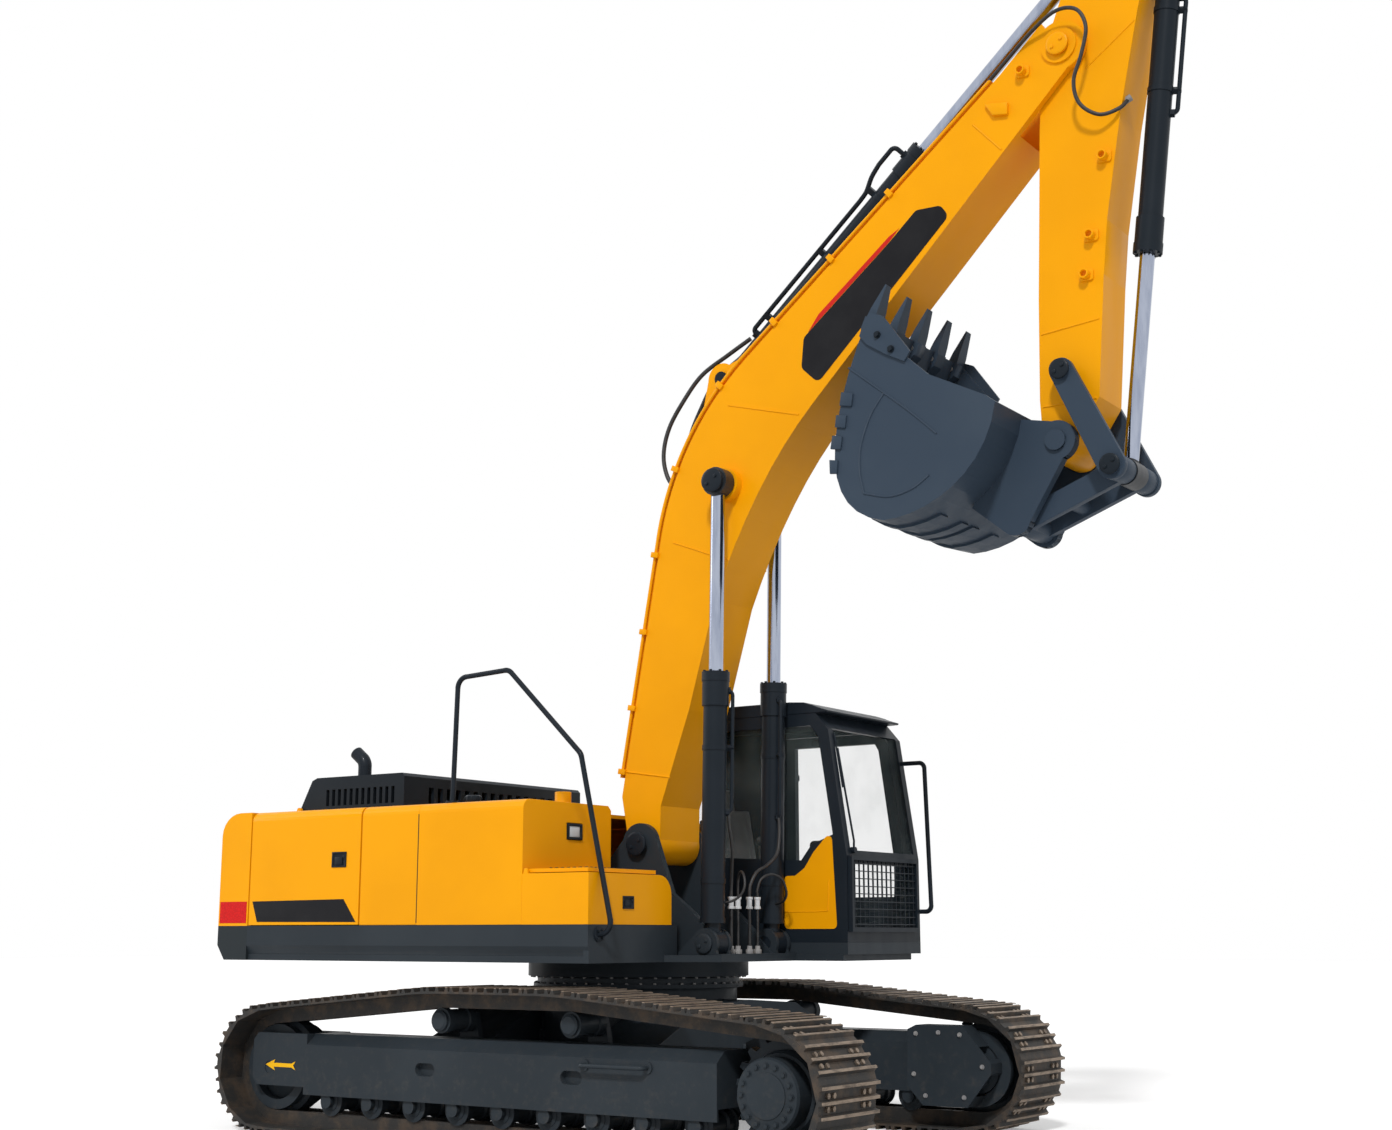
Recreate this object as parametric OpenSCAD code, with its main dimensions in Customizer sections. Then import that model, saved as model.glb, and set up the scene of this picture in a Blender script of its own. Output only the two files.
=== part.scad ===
// Crawler excavator of the 21 tonne class, in millimetres, +X to the front of the upper, +Z up.
// The working pose is the stowed one: boom raised, stick drawn in, bucket curled.

/* [Undercarriage] */
// distance from the idler's axis to the sprocket's axis
wheel_base = 3808; // [3400:1:4200]
// distance between the middles of the two tracks
track_gauge = 2423; // [2300:1:2600]
// width of a track shoe
shoe_w = 600; // [500:10:800]
// shoes in one track
shoe_count = 51; // [45:1:57]
// radius over the grousers at either end of a track
end_r = 396; // [370:1:430]
// height of a grouser bar
grouser_h = 26; // [18:1:34]
// thickness of a shoe plate
shoe_t = 12; // [9:1:16]
// height of a chain link
link_h = 90; // [80:1:105]
// rise of the upper run over the carrier rollers
top_rise = 129; // [60:1:150]
// distance of a carrier roller from the middle of the track
carrier_x = 500; // [400:1:700]
// lower rollers on one side
roller_count = 9; // [7:1:9]
// tread radius of a lower roller
roller_r = 78; // [70:1:82]
// width of a track frame
frame_w = 380; // [340:1:420]

/* [Upper structure] */
// height of the underside of the deck
deck_z = 1064; // [1040:1:1100]
// half the width of the upper
half_w = 1350; // [1300:1:1400]
// radius that the tail sweeps
tail_r = 2850; // [2750:1:2900]
// length of the counterweight along the machine
weight_len = 622; // [560:1:680]
// height of the side skirt over the deck's underside
skirt_h = 221; // [180:1:250]
// height of the side panels' top
panel_z = 2030; // [1980:1:2100]
// height of the engine cover's top
hood_z = 2280; // [2220:1:2340]
// front of the pump door and rear of the side panel
door_front = -1212; // [-1260:1:-1160]
// rear face of the tank
tank_rear = -712; // [-760:1:-660]
// front face of the tank
tank_front = 130; // [100:1:160]
// front face of the tool box
box_front = 630; // [600:1:660]
// height of the tool box with its lid
box_z = 1612; // [1580:1:1640]

/* [Cab] */
// right side of the cab
cab_right = 436; // [432:1:460]
// left side of the cab
cab_left = 1410; // [1380:1:1440]
// front of the cab at its foot
cab_front = 1320; // [1290:1:1350]
// rear of the cab
cab_rear = -350; // [-365:1:-330]
// height of the cab's roof
roof_z = 2735; // [2700:1:2800]
// thickness of the cab's walls
wall = 46; // [40:1:52]

/* [Boom and stick] */
// width of the boom
boom_w = 440; // [420:2:450]
// width of the stick
stick_w = 330; // [316:2:332]
// distance of a boom cylinder from the middle
lift_y = 340; // [336:1:342]
// boom foot pin, forward and up
foot_pin = [204, 1798];
// boom cylinder foot pin
lift_pin = [810, 1174];
// boom cylinder rod pin on the boom
lift_eye = [863, 4079];
// pin at the boom's tip that carries the stick
tip_pin = [3260, 6470];
// stick cylinder foot pin on the boom
crowd_pin = [750, 4845];
// stick cylinder rod pin on the stick's tail
crowd_eye = [3450, 7186];
// bucket cylinder foot pin on the stick
curl_pin = [3900, 6950];
// bucket pin at the stick's end
bucket_pin = [3146, 4033];
// guide link pin on the stick
guide_pin = [3211, 4434];
// pin where guide links, yoke and bucket cylinder meet
curl_eye = [3494, 3827];
// yoke pin on the bucket
yoke_pin = [2875, 3597];
// radius of a main pin
pin_r = 45; // [40:1:50]

/* [Cylinders] */
// barrel radius of a boom cylinder
lift_r = 75; // [70:1:76]
// barrel length of a boom cylinder from its pin
lift_len = 1677; // [1640:1:1680]
// barrel radius of the stick cylinder
crowd_r = 80; // [75:1:85]
// barrel length of the stick cylinder from its pin
crowd_len = 1957; // [1900:1:2000]
// barrel radius of the bucket cylinder
curl_r = 72; // [68:1:76]
// barrel length of the bucket cylinder from its pin
curl_len = 1834; // [1800:1:1840]

/* [Bucket] */
// outside width of the bucket
bucket_w = 1190; // [1000:5:1200]
// teeth on the lip
tooth_count = 5; // [4:1:6]
// width of a tooth
tooth_w = 104; // [80:2:120]
// length of a tooth past the lip
tooth_len = 222; // [150:2:240]
// plate thickness of the bucket
bucket_t = 28; // [22:1:34]

/* [Fits] */
// radial running clearance of a pin in its bore
run = 0.05; // [0.03:0.01:0.1]
// gap between faces of pieces that move past each other
gap = 5; // [5:0.5:8]
// gap between pieces that are bolted together
seat = 0.2; // [0.1:0.1:0.5]

/* [Hidden] */
$fn = 48;
yellow = [0.96, 0.67, 0.05];
slate = [0.17, 0.20, 0.24];
black = [0.08, 0.09, 0.11];
steel = [0.75, 0.77, 0.80];
iron = [0.30, 0.26, 0.22];
glass = [0.55, 0.70, 0.72, 0.4];
ear_r = 100;
origin_x = (curl_pin[0] + ear_r - tail_r) / 2;

// track line through the link pins
pin_z = grouser_h + shoe_t + link_h / 2;
turn_r = end_r - pin_z;
top_z = end_r + turn_r + top_rise;
track_y = track_gauge / 2;
run_in = [wheel_base / 2 - carrier_x, top_z - end_r];
run_d = norm(run_in);
leave = atan2(run_in[1], run_in[0]) + acos(turn_r / run_d);
climb = sqrt(run_d * run_d - turn_r * turn_r);
arc_len = turn_r * (leave + 90) * PI / 180;
loop_len = wheel_base + 2 * arc_len + 2 * climb + 2 * carrier_x;
step = loop_len / shoe_count;
rail_z = pin_z + link_h / 2;
rail_y = 95;
rail_t = 36;
chain_out = rail_y + rail_t / 2;
roller_z = rail_z + roller_r + 1;
roller_span = wheel_base - 1008;
carrier_r = 75;
carrier_z = top_z - link_h / 2 - carrier_r - 1;

slew_r = 520;
panel_t = 30;
deck_t = 40;
bay_rear = weight_len - tail_r;
vent = (-1300 - bay_rear - 268) / 12;
top_t = 25;
lid_t = 23;
lid_pin = [tank_front + 26, box_z - lid_t / 2];
hood_pin = [bay_rear + 32, panel_z + 32];
hood_w = 938;
beam_h = 230;
skirt_z = deck_z + skirt_h;
floor_z = skirt_z + seat;
door_z = skirt_z + gap;
hinge_gap = 12;
hinge_in = 15;
hinge_r = 8;
left_seam = -1300;
cab_z = deck_z + deck_t + seat;
door_pin = [297.5, cab_left + 20];
door_hinges = [1380, 2300];

function bez2(a, b, c, n) = [for (i = [0:n]) let (t = i / n) a * (1 - t) ^ 2 + b * 2 * t * (1 - t) + c * t ^ 2];
function bez3(a, b, c, d, n) = [for (i = [0:n]) let (t = i / n)
    a * (1 - t) ^ 3 + b * 3 * t * (1 - t) ^ 2 + c * 3 * t ^ 2 * (1 - t) + d * t ^ 3];
function polar(c, r, a) = c + r * [cos(a), sin(a)];
function toward(a, b, d) = a + d * (b - a) / norm(b - a);

module place() {
    translate([-origin_x, 0, 0]) children();
}

module both() {
    children();
    mirror([0, 1, 0]) children();
}

// side profile, given forward and up, pulled from y0 to y1
module slab(y0, y1) {
    translate([0, y1, 0]) rotate([90, 0, 0]) linear_extrude(y1 - y0) children();
}

// cross section, given across and up, pulled from x0 to x1
module beam(x0, x1) {
    translate([x0, 0, 0]) rotate([90, 0, 90]) linear_extrude(x1 - x0) children();
}

// round bar across the machine
module bar(p, r, y0, y1) {
    translate([p[0], y1, p[1]]) rotate([90, 0, 0]) cylinder(r = r, h = y1 - y0);
}

// round bar in the side plane, from d0 to d1 along the line a to b
module shaft(a, b, d0, d1, r, y = 0) {
    translate([a[0], y, a[1]]) rotate([0, atan2(b[0] - a[0], b[1] - a[1]), 0])
        translate([0, 0, d0]) cylinder(r = r, h = d1 - d0);
}

// flat link with round ends
module strap(a, ra, b, rb) {
    d = norm(b - a);
    f = atan2(b[1] - a[1], b[0] - a[0]);
    w = acos((ra - rb) / d);
    translate(a) circle(ra);
    translate(b) circle(rb);
    polygon([polar(a, ra, f + w), polar(b, rb, f + w), polar(b, rb, f - w), polar(a, ra, f - w)]);
}

// corner of a bent line: interior angle, centre of its bend and the ends of that bend
function corner_open(a, c, b) = acos((a - c) * (b - c) / norm(a - c) / norm(b - c));
function corner_len(a, c, b, r) = r / tan(corner_open(a, c, b) / 2);
function corner_mid(a, c, b, r) = let (m = (a - c) / norm(a - c) + (b - c) / norm(b - c))
    c + m / norm(m) * r / sin(corner_open(a, c, b) / 2);
function fold(a) = a > 180 ? a - 360 : a < -180 ? a + 360 : a;
function bend_pts(a, c, b, r, n) = let (m = corner_mid(a, c, b, r), l = corner_len(a, c, b, r),
    p = toward(c, a, l) - m, q = toward(c, b, l) - m, w = atan2(p[1], p[0]),
    d = fold(atan2(q[1], q[0]) - w)) [for (i = [0:n]) polar(m, r, w + d * i / n)];

// round tube in the side plane at y through a list of points, with bends of radius bend
module pipe(pts, bend, r, y) {
    n = len(pts) - 1;
    trim = [for (i = [0:n]) i == 0 || i == n ? 0 : corner_len(pts[i - 1], pts[i], pts[i + 1], bend)];
    lap = min(5, bend / 14);
    for (i = [0:n - 1]) shaft(pts[i], pts[i + 1], trim[i] - (i > 0 ? lap : 0),
        norm(pts[i + 1] - pts[i]) - trim[i + 1] + (i < n - 1 ? lap : 0), r, y);
    for (i = [1:n - 1]) {
        m = corner_mid(pts[i - 1], pts[i], pts[i + 1], bend);
        p = toward(pts[i], pts[i - 1], trim[i]) - m;
        q = toward(pts[i], pts[i + 1], trim[i]) - m;
        d = fold(atan2(q[1], q[0]) - atan2(p[1], p[0]));
        f = d > 0 ? p : q;
        translate([m[0], y, m[1]]) rotate([90, 0, 0]) rotate([0, 0, atan2(f[1], f[0])])
            rotate_extrude(angle = abs(d)) translate([bend, 0]) circle(r + 0.6);
    }
}

// point on the track's pin line at a length s from the idler's foot
function on_loop(s) =
    s < wheel_base ? [s - wheel_base / 2, pin_z] :
    s < wheel_base + arc_len ? polar([wheel_base / 2, end_r], turn_r, -90 + (s - wheel_base) / turn_r * 180 / PI) :
    s < wheel_base + arc_len + climb ?
        toward(polar([wheel_base / 2, end_r], turn_r, 180 - leave), [carrier_x, top_z], s - wheel_base - arc_len) :
    s < wheel_base + arc_len + climb + 2 * carrier_x ? [carrier_x - (s - wheel_base - arc_len - climb), top_z] :
    s < wheel_base + arc_len + 2 * climb + 2 * carrier_x ?
        toward([-carrier_x, top_z], polar([-wheel_base / 2, end_r], turn_r, leave),
            s - wheel_base - arc_len - climb - 2 * carrier_x) :
    polar([-wheel_base / 2, end_r], turn_r,
        leave + (s - wheel_base - arc_len - 2 * climb - 2 * carrier_x) / turn_r * 180 / PI);

// outline made of one shoe's points after the other, each given along and out from the pin line
function loop_of(points) = [for (i = [0:shoe_count - 1])
    let (a = on_loop(i * step), b = on_loop(((i + 1) % shoe_count) * step), h = norm(b - a) / 2,
        t = (b - a) / (2 * h), n = [t[1], -t[0]], m = (a + b) / 2)
    for (p = points) m + t * p[0] * h + n * p[1]];

plate_in = link_h / 2;
plate_out = plate_in + shoe_t;
bar_out = plate_out + grouser_h;
shoe_points = [for (c = [-0.8, 0, 0.8]) for (k = [[-0.16, 0], [-0.07, 1], [0.07, 1], [0.16, 0]])
    [c + k[0], k[1] == 1 ? bar_out : plate_out]];

// inner line of the chain, on which rollers, idler and sprocket run
module rail_hole() {
    r = turn_r - link_h / 2 + 2;
    half = [for (i = [0:10]) polar([wheel_base / 2, end_r], r, -90 + (270 - leave) * i / 10)];
    right = concat(half, [[carrier_x, top_z - link_h / 2]]);
    polygon(concat(right, [for (i = [len(right) - 1:-1:0]) [-right[i][0], right[i][1]]]));
}

module track(y) {
    translate([0, y, 0]) {
        slab(-shoe_w / 2, shoe_w / 2) difference() {
            polygon(loop_of(shoe_points));
            polygon(loop_of([[0, plate_in]]));
        }
        both() slab(rail_y - rail_t / 2, rail_y + rail_t / 2) difference() {
            polygon(loop_of([[0, plate_in + 4]]));
            rail_hole();
        }
    }
}

module track_left() {
    color(iron) place() track(track_y);
}

module track_right() {
    color(iron) place() track(-track_y);
}

// one track frame, its middle on Y = 0 and its inner side at -Y
module track_frame() {
    h = frame_w / 2;
    x0 = -wheel_base / 2 + 315;
    x1 = wheel_base / 2 - 345;
    difference() {
        beam(x0, x1) polygon([[-h, 240], [-h, 545], [-h + 80, 610], [h - 80, 610], [h, 545], [h, 240],
            [h - 15, 240], [h - 15, 305], [15 - h, 305], [15 - h, 240]]);
        for (x = [-560, 560]) slab(h - 40, h + 5) translate([x, 430]) strap([-40, 0], 38, [40, 0], 38);
    }
    // bearing blocks beside the idler
    both() slab(chain_out + 15, h) difference() {
        polygon([[-wheel_base / 2 - 150, 330], [-wheel_base / 2 - 110, 285], [x0 + 20, 285], [x0 + 20, 610],
            [-wheel_base / 2 - 110, 610], [-wheel_base / 2 - 150, 565]]);
        translate([-wheel_base / 2, end_r]) circle(40 + seat);
    }
    // motor bracket beside the sprocket
    slab(-h, -h + 50) difference() {
        strap([wheel_base / 2, end_r], 235, [x1 - 200, 425], 118);
        translate([wheel_base / 2, end_r]) circle(162);
    }
    // guard round the motor, closed by a plate
    guard = [[1491, 286], [1500, 636], [1560, 664], [1890, 664], [2080, 440], [2080, 380], [1911, 170], [1600, 170]];
    slab(-h - 145, -h + 2) difference() {
        polygon(guard);
        translate([wheel_base / 2, end_r]) circle(170);
    }
    slab(-h - 157, -h - 144) polygon(guard);
    // posts of the carrier rollers
    for (s = [-1, 1]) slab(-h + 10, -chain_out - 25) difference() {
        polygon([[s * carrier_x - 90, 560], [s * carrier_x + 90, 560], [s * carrier_x + 42, carrier_z + 42],
            [s * carrier_x - 42, carrier_z + 42]]);
        translate([s * carrier_x, carrier_z]) circle(28 + seat);
    }
}

module track_frames() {
    color(slate) place() both() translate([0, track_y, 0]) track_frame();
}

module idler() {
    translate([-wheel_base / 2, 0, end_r]) rotate([90, 0, 0]) rotate_extrude() polygon([
        [0, -frame_w / 2 + 5], [40, -frame_w / 2 + 5], [40, -122], [110, -122], [120, -95], [200, -60],
        [205, -118], [turn_r - link_h / 2 - 3, -118], [turn_r - link_h / 2 - 3, -62], [turn_r - 18, -50],
        [turn_r - 18, 50], [turn_r - link_h / 2 - 3, 62], [turn_r - link_h / 2 - 3, 118], [205, 118], [200, 60],
        [120, 95], [110, 122], [40, 122], [40, frame_w / 2 - 5], [0, frame_w / 2 - 5]]);
}

module idlers() {
    color(slate) place() both() translate([0, track_y, 0]) idler();
}

module track_rollers() {
    color(slate) place() both() for (i = [0:roller_count - 1])
        translate([roller_span * (i / (roller_count - 1) - 0.5), track_y, roller_z]) rotate([90, 0, 0])
            rotate_extrude() polygon([[0, -frame_w / 2 + 15 + seat], [42, -frame_w / 2 + 15 + seat], [42, -140],
                [62, -134], [62, -130], [roller_r + 15, -128], [roller_r + 15, -118], [roller_r, -116],
                [roller_r, -60], [roller_r - 14, -50], [roller_r - 14, 50], [roller_r, 60], [roller_r, 116],
                [roller_r + 15, 118], [roller_r + 15, 128], [62, 130], [62, 134], [42, 140],
                [42, frame_w / 2 - 15 - seat], [0, frame_w / 2 - 15 - seat]]);
}

module carrier_rollers() {
    color(slate) place() both() for (s = [-1, 1])
        translate([s * carrier_x, track_y, carrier_z]) rotate([90, 0, 0])
            rotate_extrude() polygon([[0, -150], [48, -150], [62, -140], [62, -122], [carrier_r, -120],
                [carrier_r, -70], [66, -62], [66, 62], [carrier_r, 70], [carrier_r, 126], [50, 134], [28, 134],
                [28, frame_w / 2 - 14], [0, frame_w / 2 - 14]]);
}

// toothed ring with its hub, the motor at -Y and the cover at +Y
module sprocket() {
    teeth = 21;
    translate([wheel_base / 2, 0, end_r]) {
        rotate([90, 0, 0]) linear_extrude(70, center = true) polygon([for (i = [0:teeth - 1])
            for (k = [[0.16, turn_r + 10], [0.30, turn_r - 30], [0.70, turn_r - 30], [0.84, turn_r + 10]])
                polar([0, 0], k[1], (i + k[0]) * 360 / teeth)]);
        rotate([-90, 0, 0]) rotate_extrude() polygon([[0, -320], [110, -320], [118, -312], [118, -205], [155, -200],
            [155, -110], [200, -100], [228, -60], [228, 60], [212, 92], [196, 100], [196, 218], [186, 232],
            [120, 240], [120, 246], [0, 246]]);
    }
}

module sprockets() {
    color(slate) place() both() translate([0, track_y, 0]) sprocket();
}

module carbody() {
    inner = track_y - frame_w / 2 - seat;
    color(slate) place() {
        difference() {
            union() {
                translate([0, 0, 470]) cylinder(r = 640, h = 900 - 470);
                both() for (s = [-1, 1]) beam(s > 0 ? 380 : -880, s > 0 ? 880 : -380)
                    polygon([[0, 470], [0, 830], [520, 800], [inner, 590], [inner, 330], [700, 360]]);
                translate([-620, -540, 440]) cube([1240, 1080, 200]);
                for (s = [-1, 1]) translate([0, 0, 515]) linear_extrude(50) strap([s * 960, 0], 75, [s * 840, 0], 110);
            }
            translate([0, 0, 300]) cylinder(r = 230, h = 900);
            for (s = [-1, 1]) translate([s * 960, 0, 500]) cylinder(r = 36, h = 80);
        }
    }
}

// bolted flange, ring and the spigot that the deck turns on
module slew_ring() {
    color(slate) place() translate([0, 0, 900 + seat]) rotate_extrude($fn = 96)
        polygon([[460, 0], [680, 0], [680, 24], [655, 24], [655, 62], [slew_r - run, 62], [slew_r - run, 130],
            [460, 130]]);
}

// boom foot ear and main beam in one plate
module main_plate() {
    difference() {
        union() {
            translate(foot_pin) circle(132);
            polygon([[bay_rear + 20, deck_z + 20], [bay_rear + 20, deck_z + beam_h], [-700, deck_z + beam_h],
                [-160, deck_z + 500], foot_pin + [-128, 32], foot_pin + [118, 58], [460, deck_z + 420],
                [620, deck_z + 300], [lift_pin[0] - 60, deck_z + 180], [900, deck_z + 20]]);
        }
        translate(foot_pin) circle(pin_r + run);
    }
}

module skirt_section() {
    polygon([[half_w - 42, deck_z], [half_w - 62, deck_z], [half_w - 62, skirt_z], [half_w, skirt_z],
        [half_w, deck_z + 96]]);
}

// upright pins that the side doors turn on
module door_pins() {
    for (p = [[bay_rear, -1], [bay_rear, 1], [left_seam, 1]])
        translate([p[0] + hinge_gap + hinge_in, p[1] * (half_w - hinge_in), skirt_z - 5])
            cylinder(r = hinge_r, h = 50);
}

// bore in the foot of a side door whose rear edge stands at x
module door_bore(x) {
    translate([x + hinge_in, half_w - hinge_in, skirt_z - 5]) cylinder(r = hinge_r + run, h = 60);
}

module deck() {
    ear_in = boom_w / 2 + gap + 7;
    color(slate) place() difference() {
        union() {
            translate([0, 0, deck_z]) linear_extrude(deck_t) polygon([[bay_rear, 20 - half_w], [box_front - 10, 20 - half_w],
                [box_front - 10, -600], [940, -430], [940, 430], [cab_front - 30, 430],
                [cab_front - 30, half_w - 20], [bay_rear, half_w - 20]]);
            beam(bay_rear, box_front) mirror([1, 0]) skirt_section();
            beam(bay_rear, cab_rear - gap) skirt_section();
            door_pins();
            translate([box_front - 40, -half_w + 10, deck_z]) cube([40, half_w - 470, skirt_h]);
            translate([0, 0, deck_z - 94]) cylinder(r = 715, h = 100);
            both() slab(ear_in, ear_in + 46) main_plate();
            both() for (y = [lift_y - 84, lift_y + 56]) slab(y, y + 28) {
                translate(lift_pin) circle(92);
                polygon([[560, deck_z + 10], lift_pin + [-75, 52], lift_pin + [60, 66], [905, deck_z + 10]]);
            }
            translate([870, -430, deck_z]) cube([70, 860, 48]);
        }
        translate([0, 0, deck_z - 200]) cylinder(r = slew_r, h = 400, $fn = 96);
        both() bar(lift_pin, pin_r + run, lift_y - 90, lift_y + 90);
        both() bar(lift_pin, lift_r + 12 + gap, lift_y - 56, lift_y + 56);
    }
}

module counterweight() {
    color(yellow) place() difference() {
        intersection() {
            rotate_extrude($fn = 180) polygon(concat([[0, deck_z], [tail_r - 60, deck_z], [tail_r, deck_z + 96],
                [tail_r, panel_z - 150]], [for (a = [15:15:75]) polar([tail_r - 150, panel_z - 150], 150, a)],
                [[tail_r - 150, panel_z], [0, panel_z]]));
            translate([-tail_r - 50, -half_w, deck_z - 10]) cube([tail_r + 50 + bay_rear - seat, 2 * half_w, 1500]);
        }
        both() translate([bay_rear - 290, 620, panel_z - 80]) cylinder(r = 18, h = 100);
        translate([-tail_r - 20, -160, deck_z - 20]) cube([160, 320, 220]);
    }
}

module engine() {
    color(black) place() {
        translate([bay_rear + 90, -520, deck_z + 290]) cube([840, 1040, 560]);
        both() for (x = [bay_rear + 150, bay_rear + 750]) translate([x, 240, deck_z + beam_h + seat]) cube([90, 60, 62]);
    }
}

// side panel with a rounded shoulder, its foot at z and its outside at +Y
module shoulder(z) {
    r = 60;
    y = half_w;
    t = panel_t;
    polygon(concat([[y, z], [y, panel_z - r]],
        [for (a = [15:15:75]) polar([y - r, panel_z - r], r, a)],
        [[y - r, panel_z], [y - 95, panel_z], [y - 95, panel_z - t], [y - r, panel_z - t]],
        [for (a = [75:-15:15]) polar([y - r, panel_z - r], r - t, a)],
        [[y - t, panel_z - r], [y - t, z]]));
}

module right_panel() {
    color(yellow) place() mirror([0, 1, 0]) beam(door_front + 2 * gap, tank_rear - seat) shoulder(floor_z);
}

module pump_door() {
    color(yellow) place() mirror([0, 1, 0]) difference() {
        beam(bay_rear + hinge_gap, door_front) shoulder(door_z);
        translate([door_front - 238, half_w - 14, 1660]) cube([110, 30, 80]);
        door_bore(bay_rear + hinge_gap);
    }
}

module radiator_door() {
    color(yellow) place() difference() {
        beam(bay_rear + hinge_gap, left_seam) shoulder(door_z);
        for (i = [0:8]) translate([bay_rear + 148, half_w - 60, 1400 + i * 50])
            cube([left_seam - bay_rear - 308, 80, 22]);
        door_bore(bay_rear + hinge_gap);
    }
}

module left_door() {
    color(yellow) place() difference() {
        beam(left_seam + hinge_gap, cab_rear - 70) shoulder(door_z);
        translate([-620, half_w - 14, 1660]) cube([110, 30, 80]);
        door_bore(left_seam + hinge_gap);
    }
}

module left_panel() {
    color(yellow) place() translate([cab_rear - 60, 440, floor_z])
        cube([panel_t, half_w - 446, panel_z - top_t - seat - floor_z]);
}

module fuel_tank() {
    r = 60;
    color(yellow) place() difference() {
        union() {
            beam(tank_rear, tank_front) polygon(concat([[-480, floor_z], [-480, panel_z - 30], [-510, panel_z],
                [r - half_w, panel_z]], [for (a = [105:15:165]) polar([r - half_w, panel_z - r], r, a)],
                [[-half_w, panel_z - r], [-half_w, floor_z]]));
            translate([-40, -760, panel_z - 5]) cylinder(r = 52, h = 85);
            translate([-560, -1020, panel_z - 5]) cylinder(r = 42, h = 30);
        }
        translate([tank_front - 30, -930, 1800]) cube([60, 150, 105]);
    }
}

module box_section() {
    top = box_z - lid_t - gap;
    polygon(concat([[-half_w, floor_z], [-half_w, top], [-640, top]],
        [for (a = [75:-15:0]) polar([-640, top - 122], 122, a)], [[-518, floor_z]]));
}

module tool_box() {
    color(yellow) place() {
        difference() {
            beam(tank_front + seat, box_front) box_section();
            translate([tank_front + 30, -half_w + 26, floor_z + 26]) cube([box_front - tank_front - 56, half_w - 660, 400]);
            translate([box_front - 12, 340 - half_w, 1385]) cube([30, 90, 60]);
            translate([tank_front - 5, -half_w + 20, box_z - lid_t - gap - 12]) cube([55, half_w - 650, 40]);
        }
        for (y = [-half_w, -650]) slab(y, y + 16) strap(lid_pin, 15, lid_pin - [0, 40], 18);
        bar(lid_pin, hinge_r - 2, 10 - half_w, 40 - half_w);
        bar(lid_pin, hinge_r - 2, -675, -640);
    }
}

module tool_box_lid() {
    y0 = 16 + gap - half_w;
    color(yellow) place() difference() {
        translate([tank_front + 12, y0, box_z - lid_t]) cube([box_front - tank_front - 34, -650 - gap - y0, lid_t]);
        bar(lid_pin, hinge_r - 2 + run, -half_w, 42 - half_w);
        bar(lid_pin, hinge_r - 2 + run, -677, -630);
    }
}

module top_deck() {
    color(yellow) place() {
        translate([0, 0, panel_z - top_t]) linear_extrude(top_t) difference() {
            polygon([[bay_rear, 105 - half_w], [tank_rear - seat, 105 - half_w], [tank_rear - seat, -420],
                [cab_rear - 30, -420], [cab_rear - 30, half_w - 105], [bay_rear, half_w - 105]]);
            translate([bay_rear + 80, -890]) square([890, 1780]);
        }
        both() slab(hood_w + gap, hood_w + gap + 18) strap(hood_pin, 20, hood_pin - [0, 36], 26);
        both() bar(hood_pin, hinge_r, hood_w - 14, hood_w + gap + 8);
    }
}

function hood_profile(t) = [[bay_rear + 40 + t, panel_z + gap], [bay_rear + 14 + t, panel_z + 24],
    [bay_rear + 128 + t, hood_z - 18 - t], [bay_rear + 175 + t, hood_z - t], [-1262 - t, hood_z - t],
    [-1240 - t, hood_z - 22 - t], [-1240 - t, panel_z + gap]];

module hood() {
    color(black) place() {
        difference() {
            slab(-hood_w, hood_w) polygon(hood_profile(0));
            slab(24 - hood_w, hood_w - 24) polygon(concat([[bay_rear + 64, panel_z - 20]], hood_profile(24),
                [[-1264, panel_z - 20]]));
            both() for (i = [0:11]) translate([bay_rear + 268 + i * vent, hood_w - 38, 2085]) cube([vent * 0.51, 60, 110]);
            for (i = [0:15]) translate([-1300, -700 + i * 90, 2085]) cube([80, 50, 110]);
            both() bar(hood_pin, hinge_r + run, hood_w - 40, hood_w + 10);
        }
        pipe([[bay_rear + 388, hood_z - 12], [bay_rear + 388, hood_z + 120], [bay_rear + 303, hood_z + 185]],
            70, 46, -700);
    }
}

module handrails() {
    color(black) place() {
        pipe([[-527, panel_z + 3 * seat], [-505, 2815], [-90, 2835], [485, 2285], [735, 1230], [box_front + seat, 1230]],
            70, 16, 100 - half_w);
        pipe([[cab_front - 98, 2380], [1400, 2380], [1430, 1380], [cab_front + seat, 1380]],
            40, 15, cab_left - 40);
    }
}

// side view of the cab, drawn in by t
function cab_side(t) = [[cab_rear + t, cab_z], [cab_front - t, cab_z], [cab_front - t, 1725],
    [1195 - t, 2540], [1100 - t, 2650], [1100 - t, roof_z - 85], [cab_rear + t, roof_z - 85]];

module cab_floor() {
    color(slate) place() translate([cab_rear, cab_right, cab_z])
        cube([cab_front - cab_rear, cab_left - cab_right, 74]);
}

module door_outline(c) {
    polygon([[300 - c, 1200 - c], [1235 + c, 1200 - c], [1235 + c, 1715], [1120 + c, 2530 + c], [1060 + c, 2600 + c],
        [300 - c, 2600 + c]]);
}

module door_window(c) {
    polygon([[370 - c, 1480 - c], [1150 + c, 1480 - c], [1160 + c, 1700], [1050 + c, 2480], [1020 + c, 2530 + c],
        [370 - c, 2530 + c]]);
}

module side_window(c) {
    polygon([[-260 - c, 1760 - c], [980 - c, 1700 - c], [1060, 1800 - c], [1220 + c, 1860 - c], [1120 + c, 2500],
        [1060 + c, 2570 + c], [-260 - c, 2570 + c]]);
}

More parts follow.
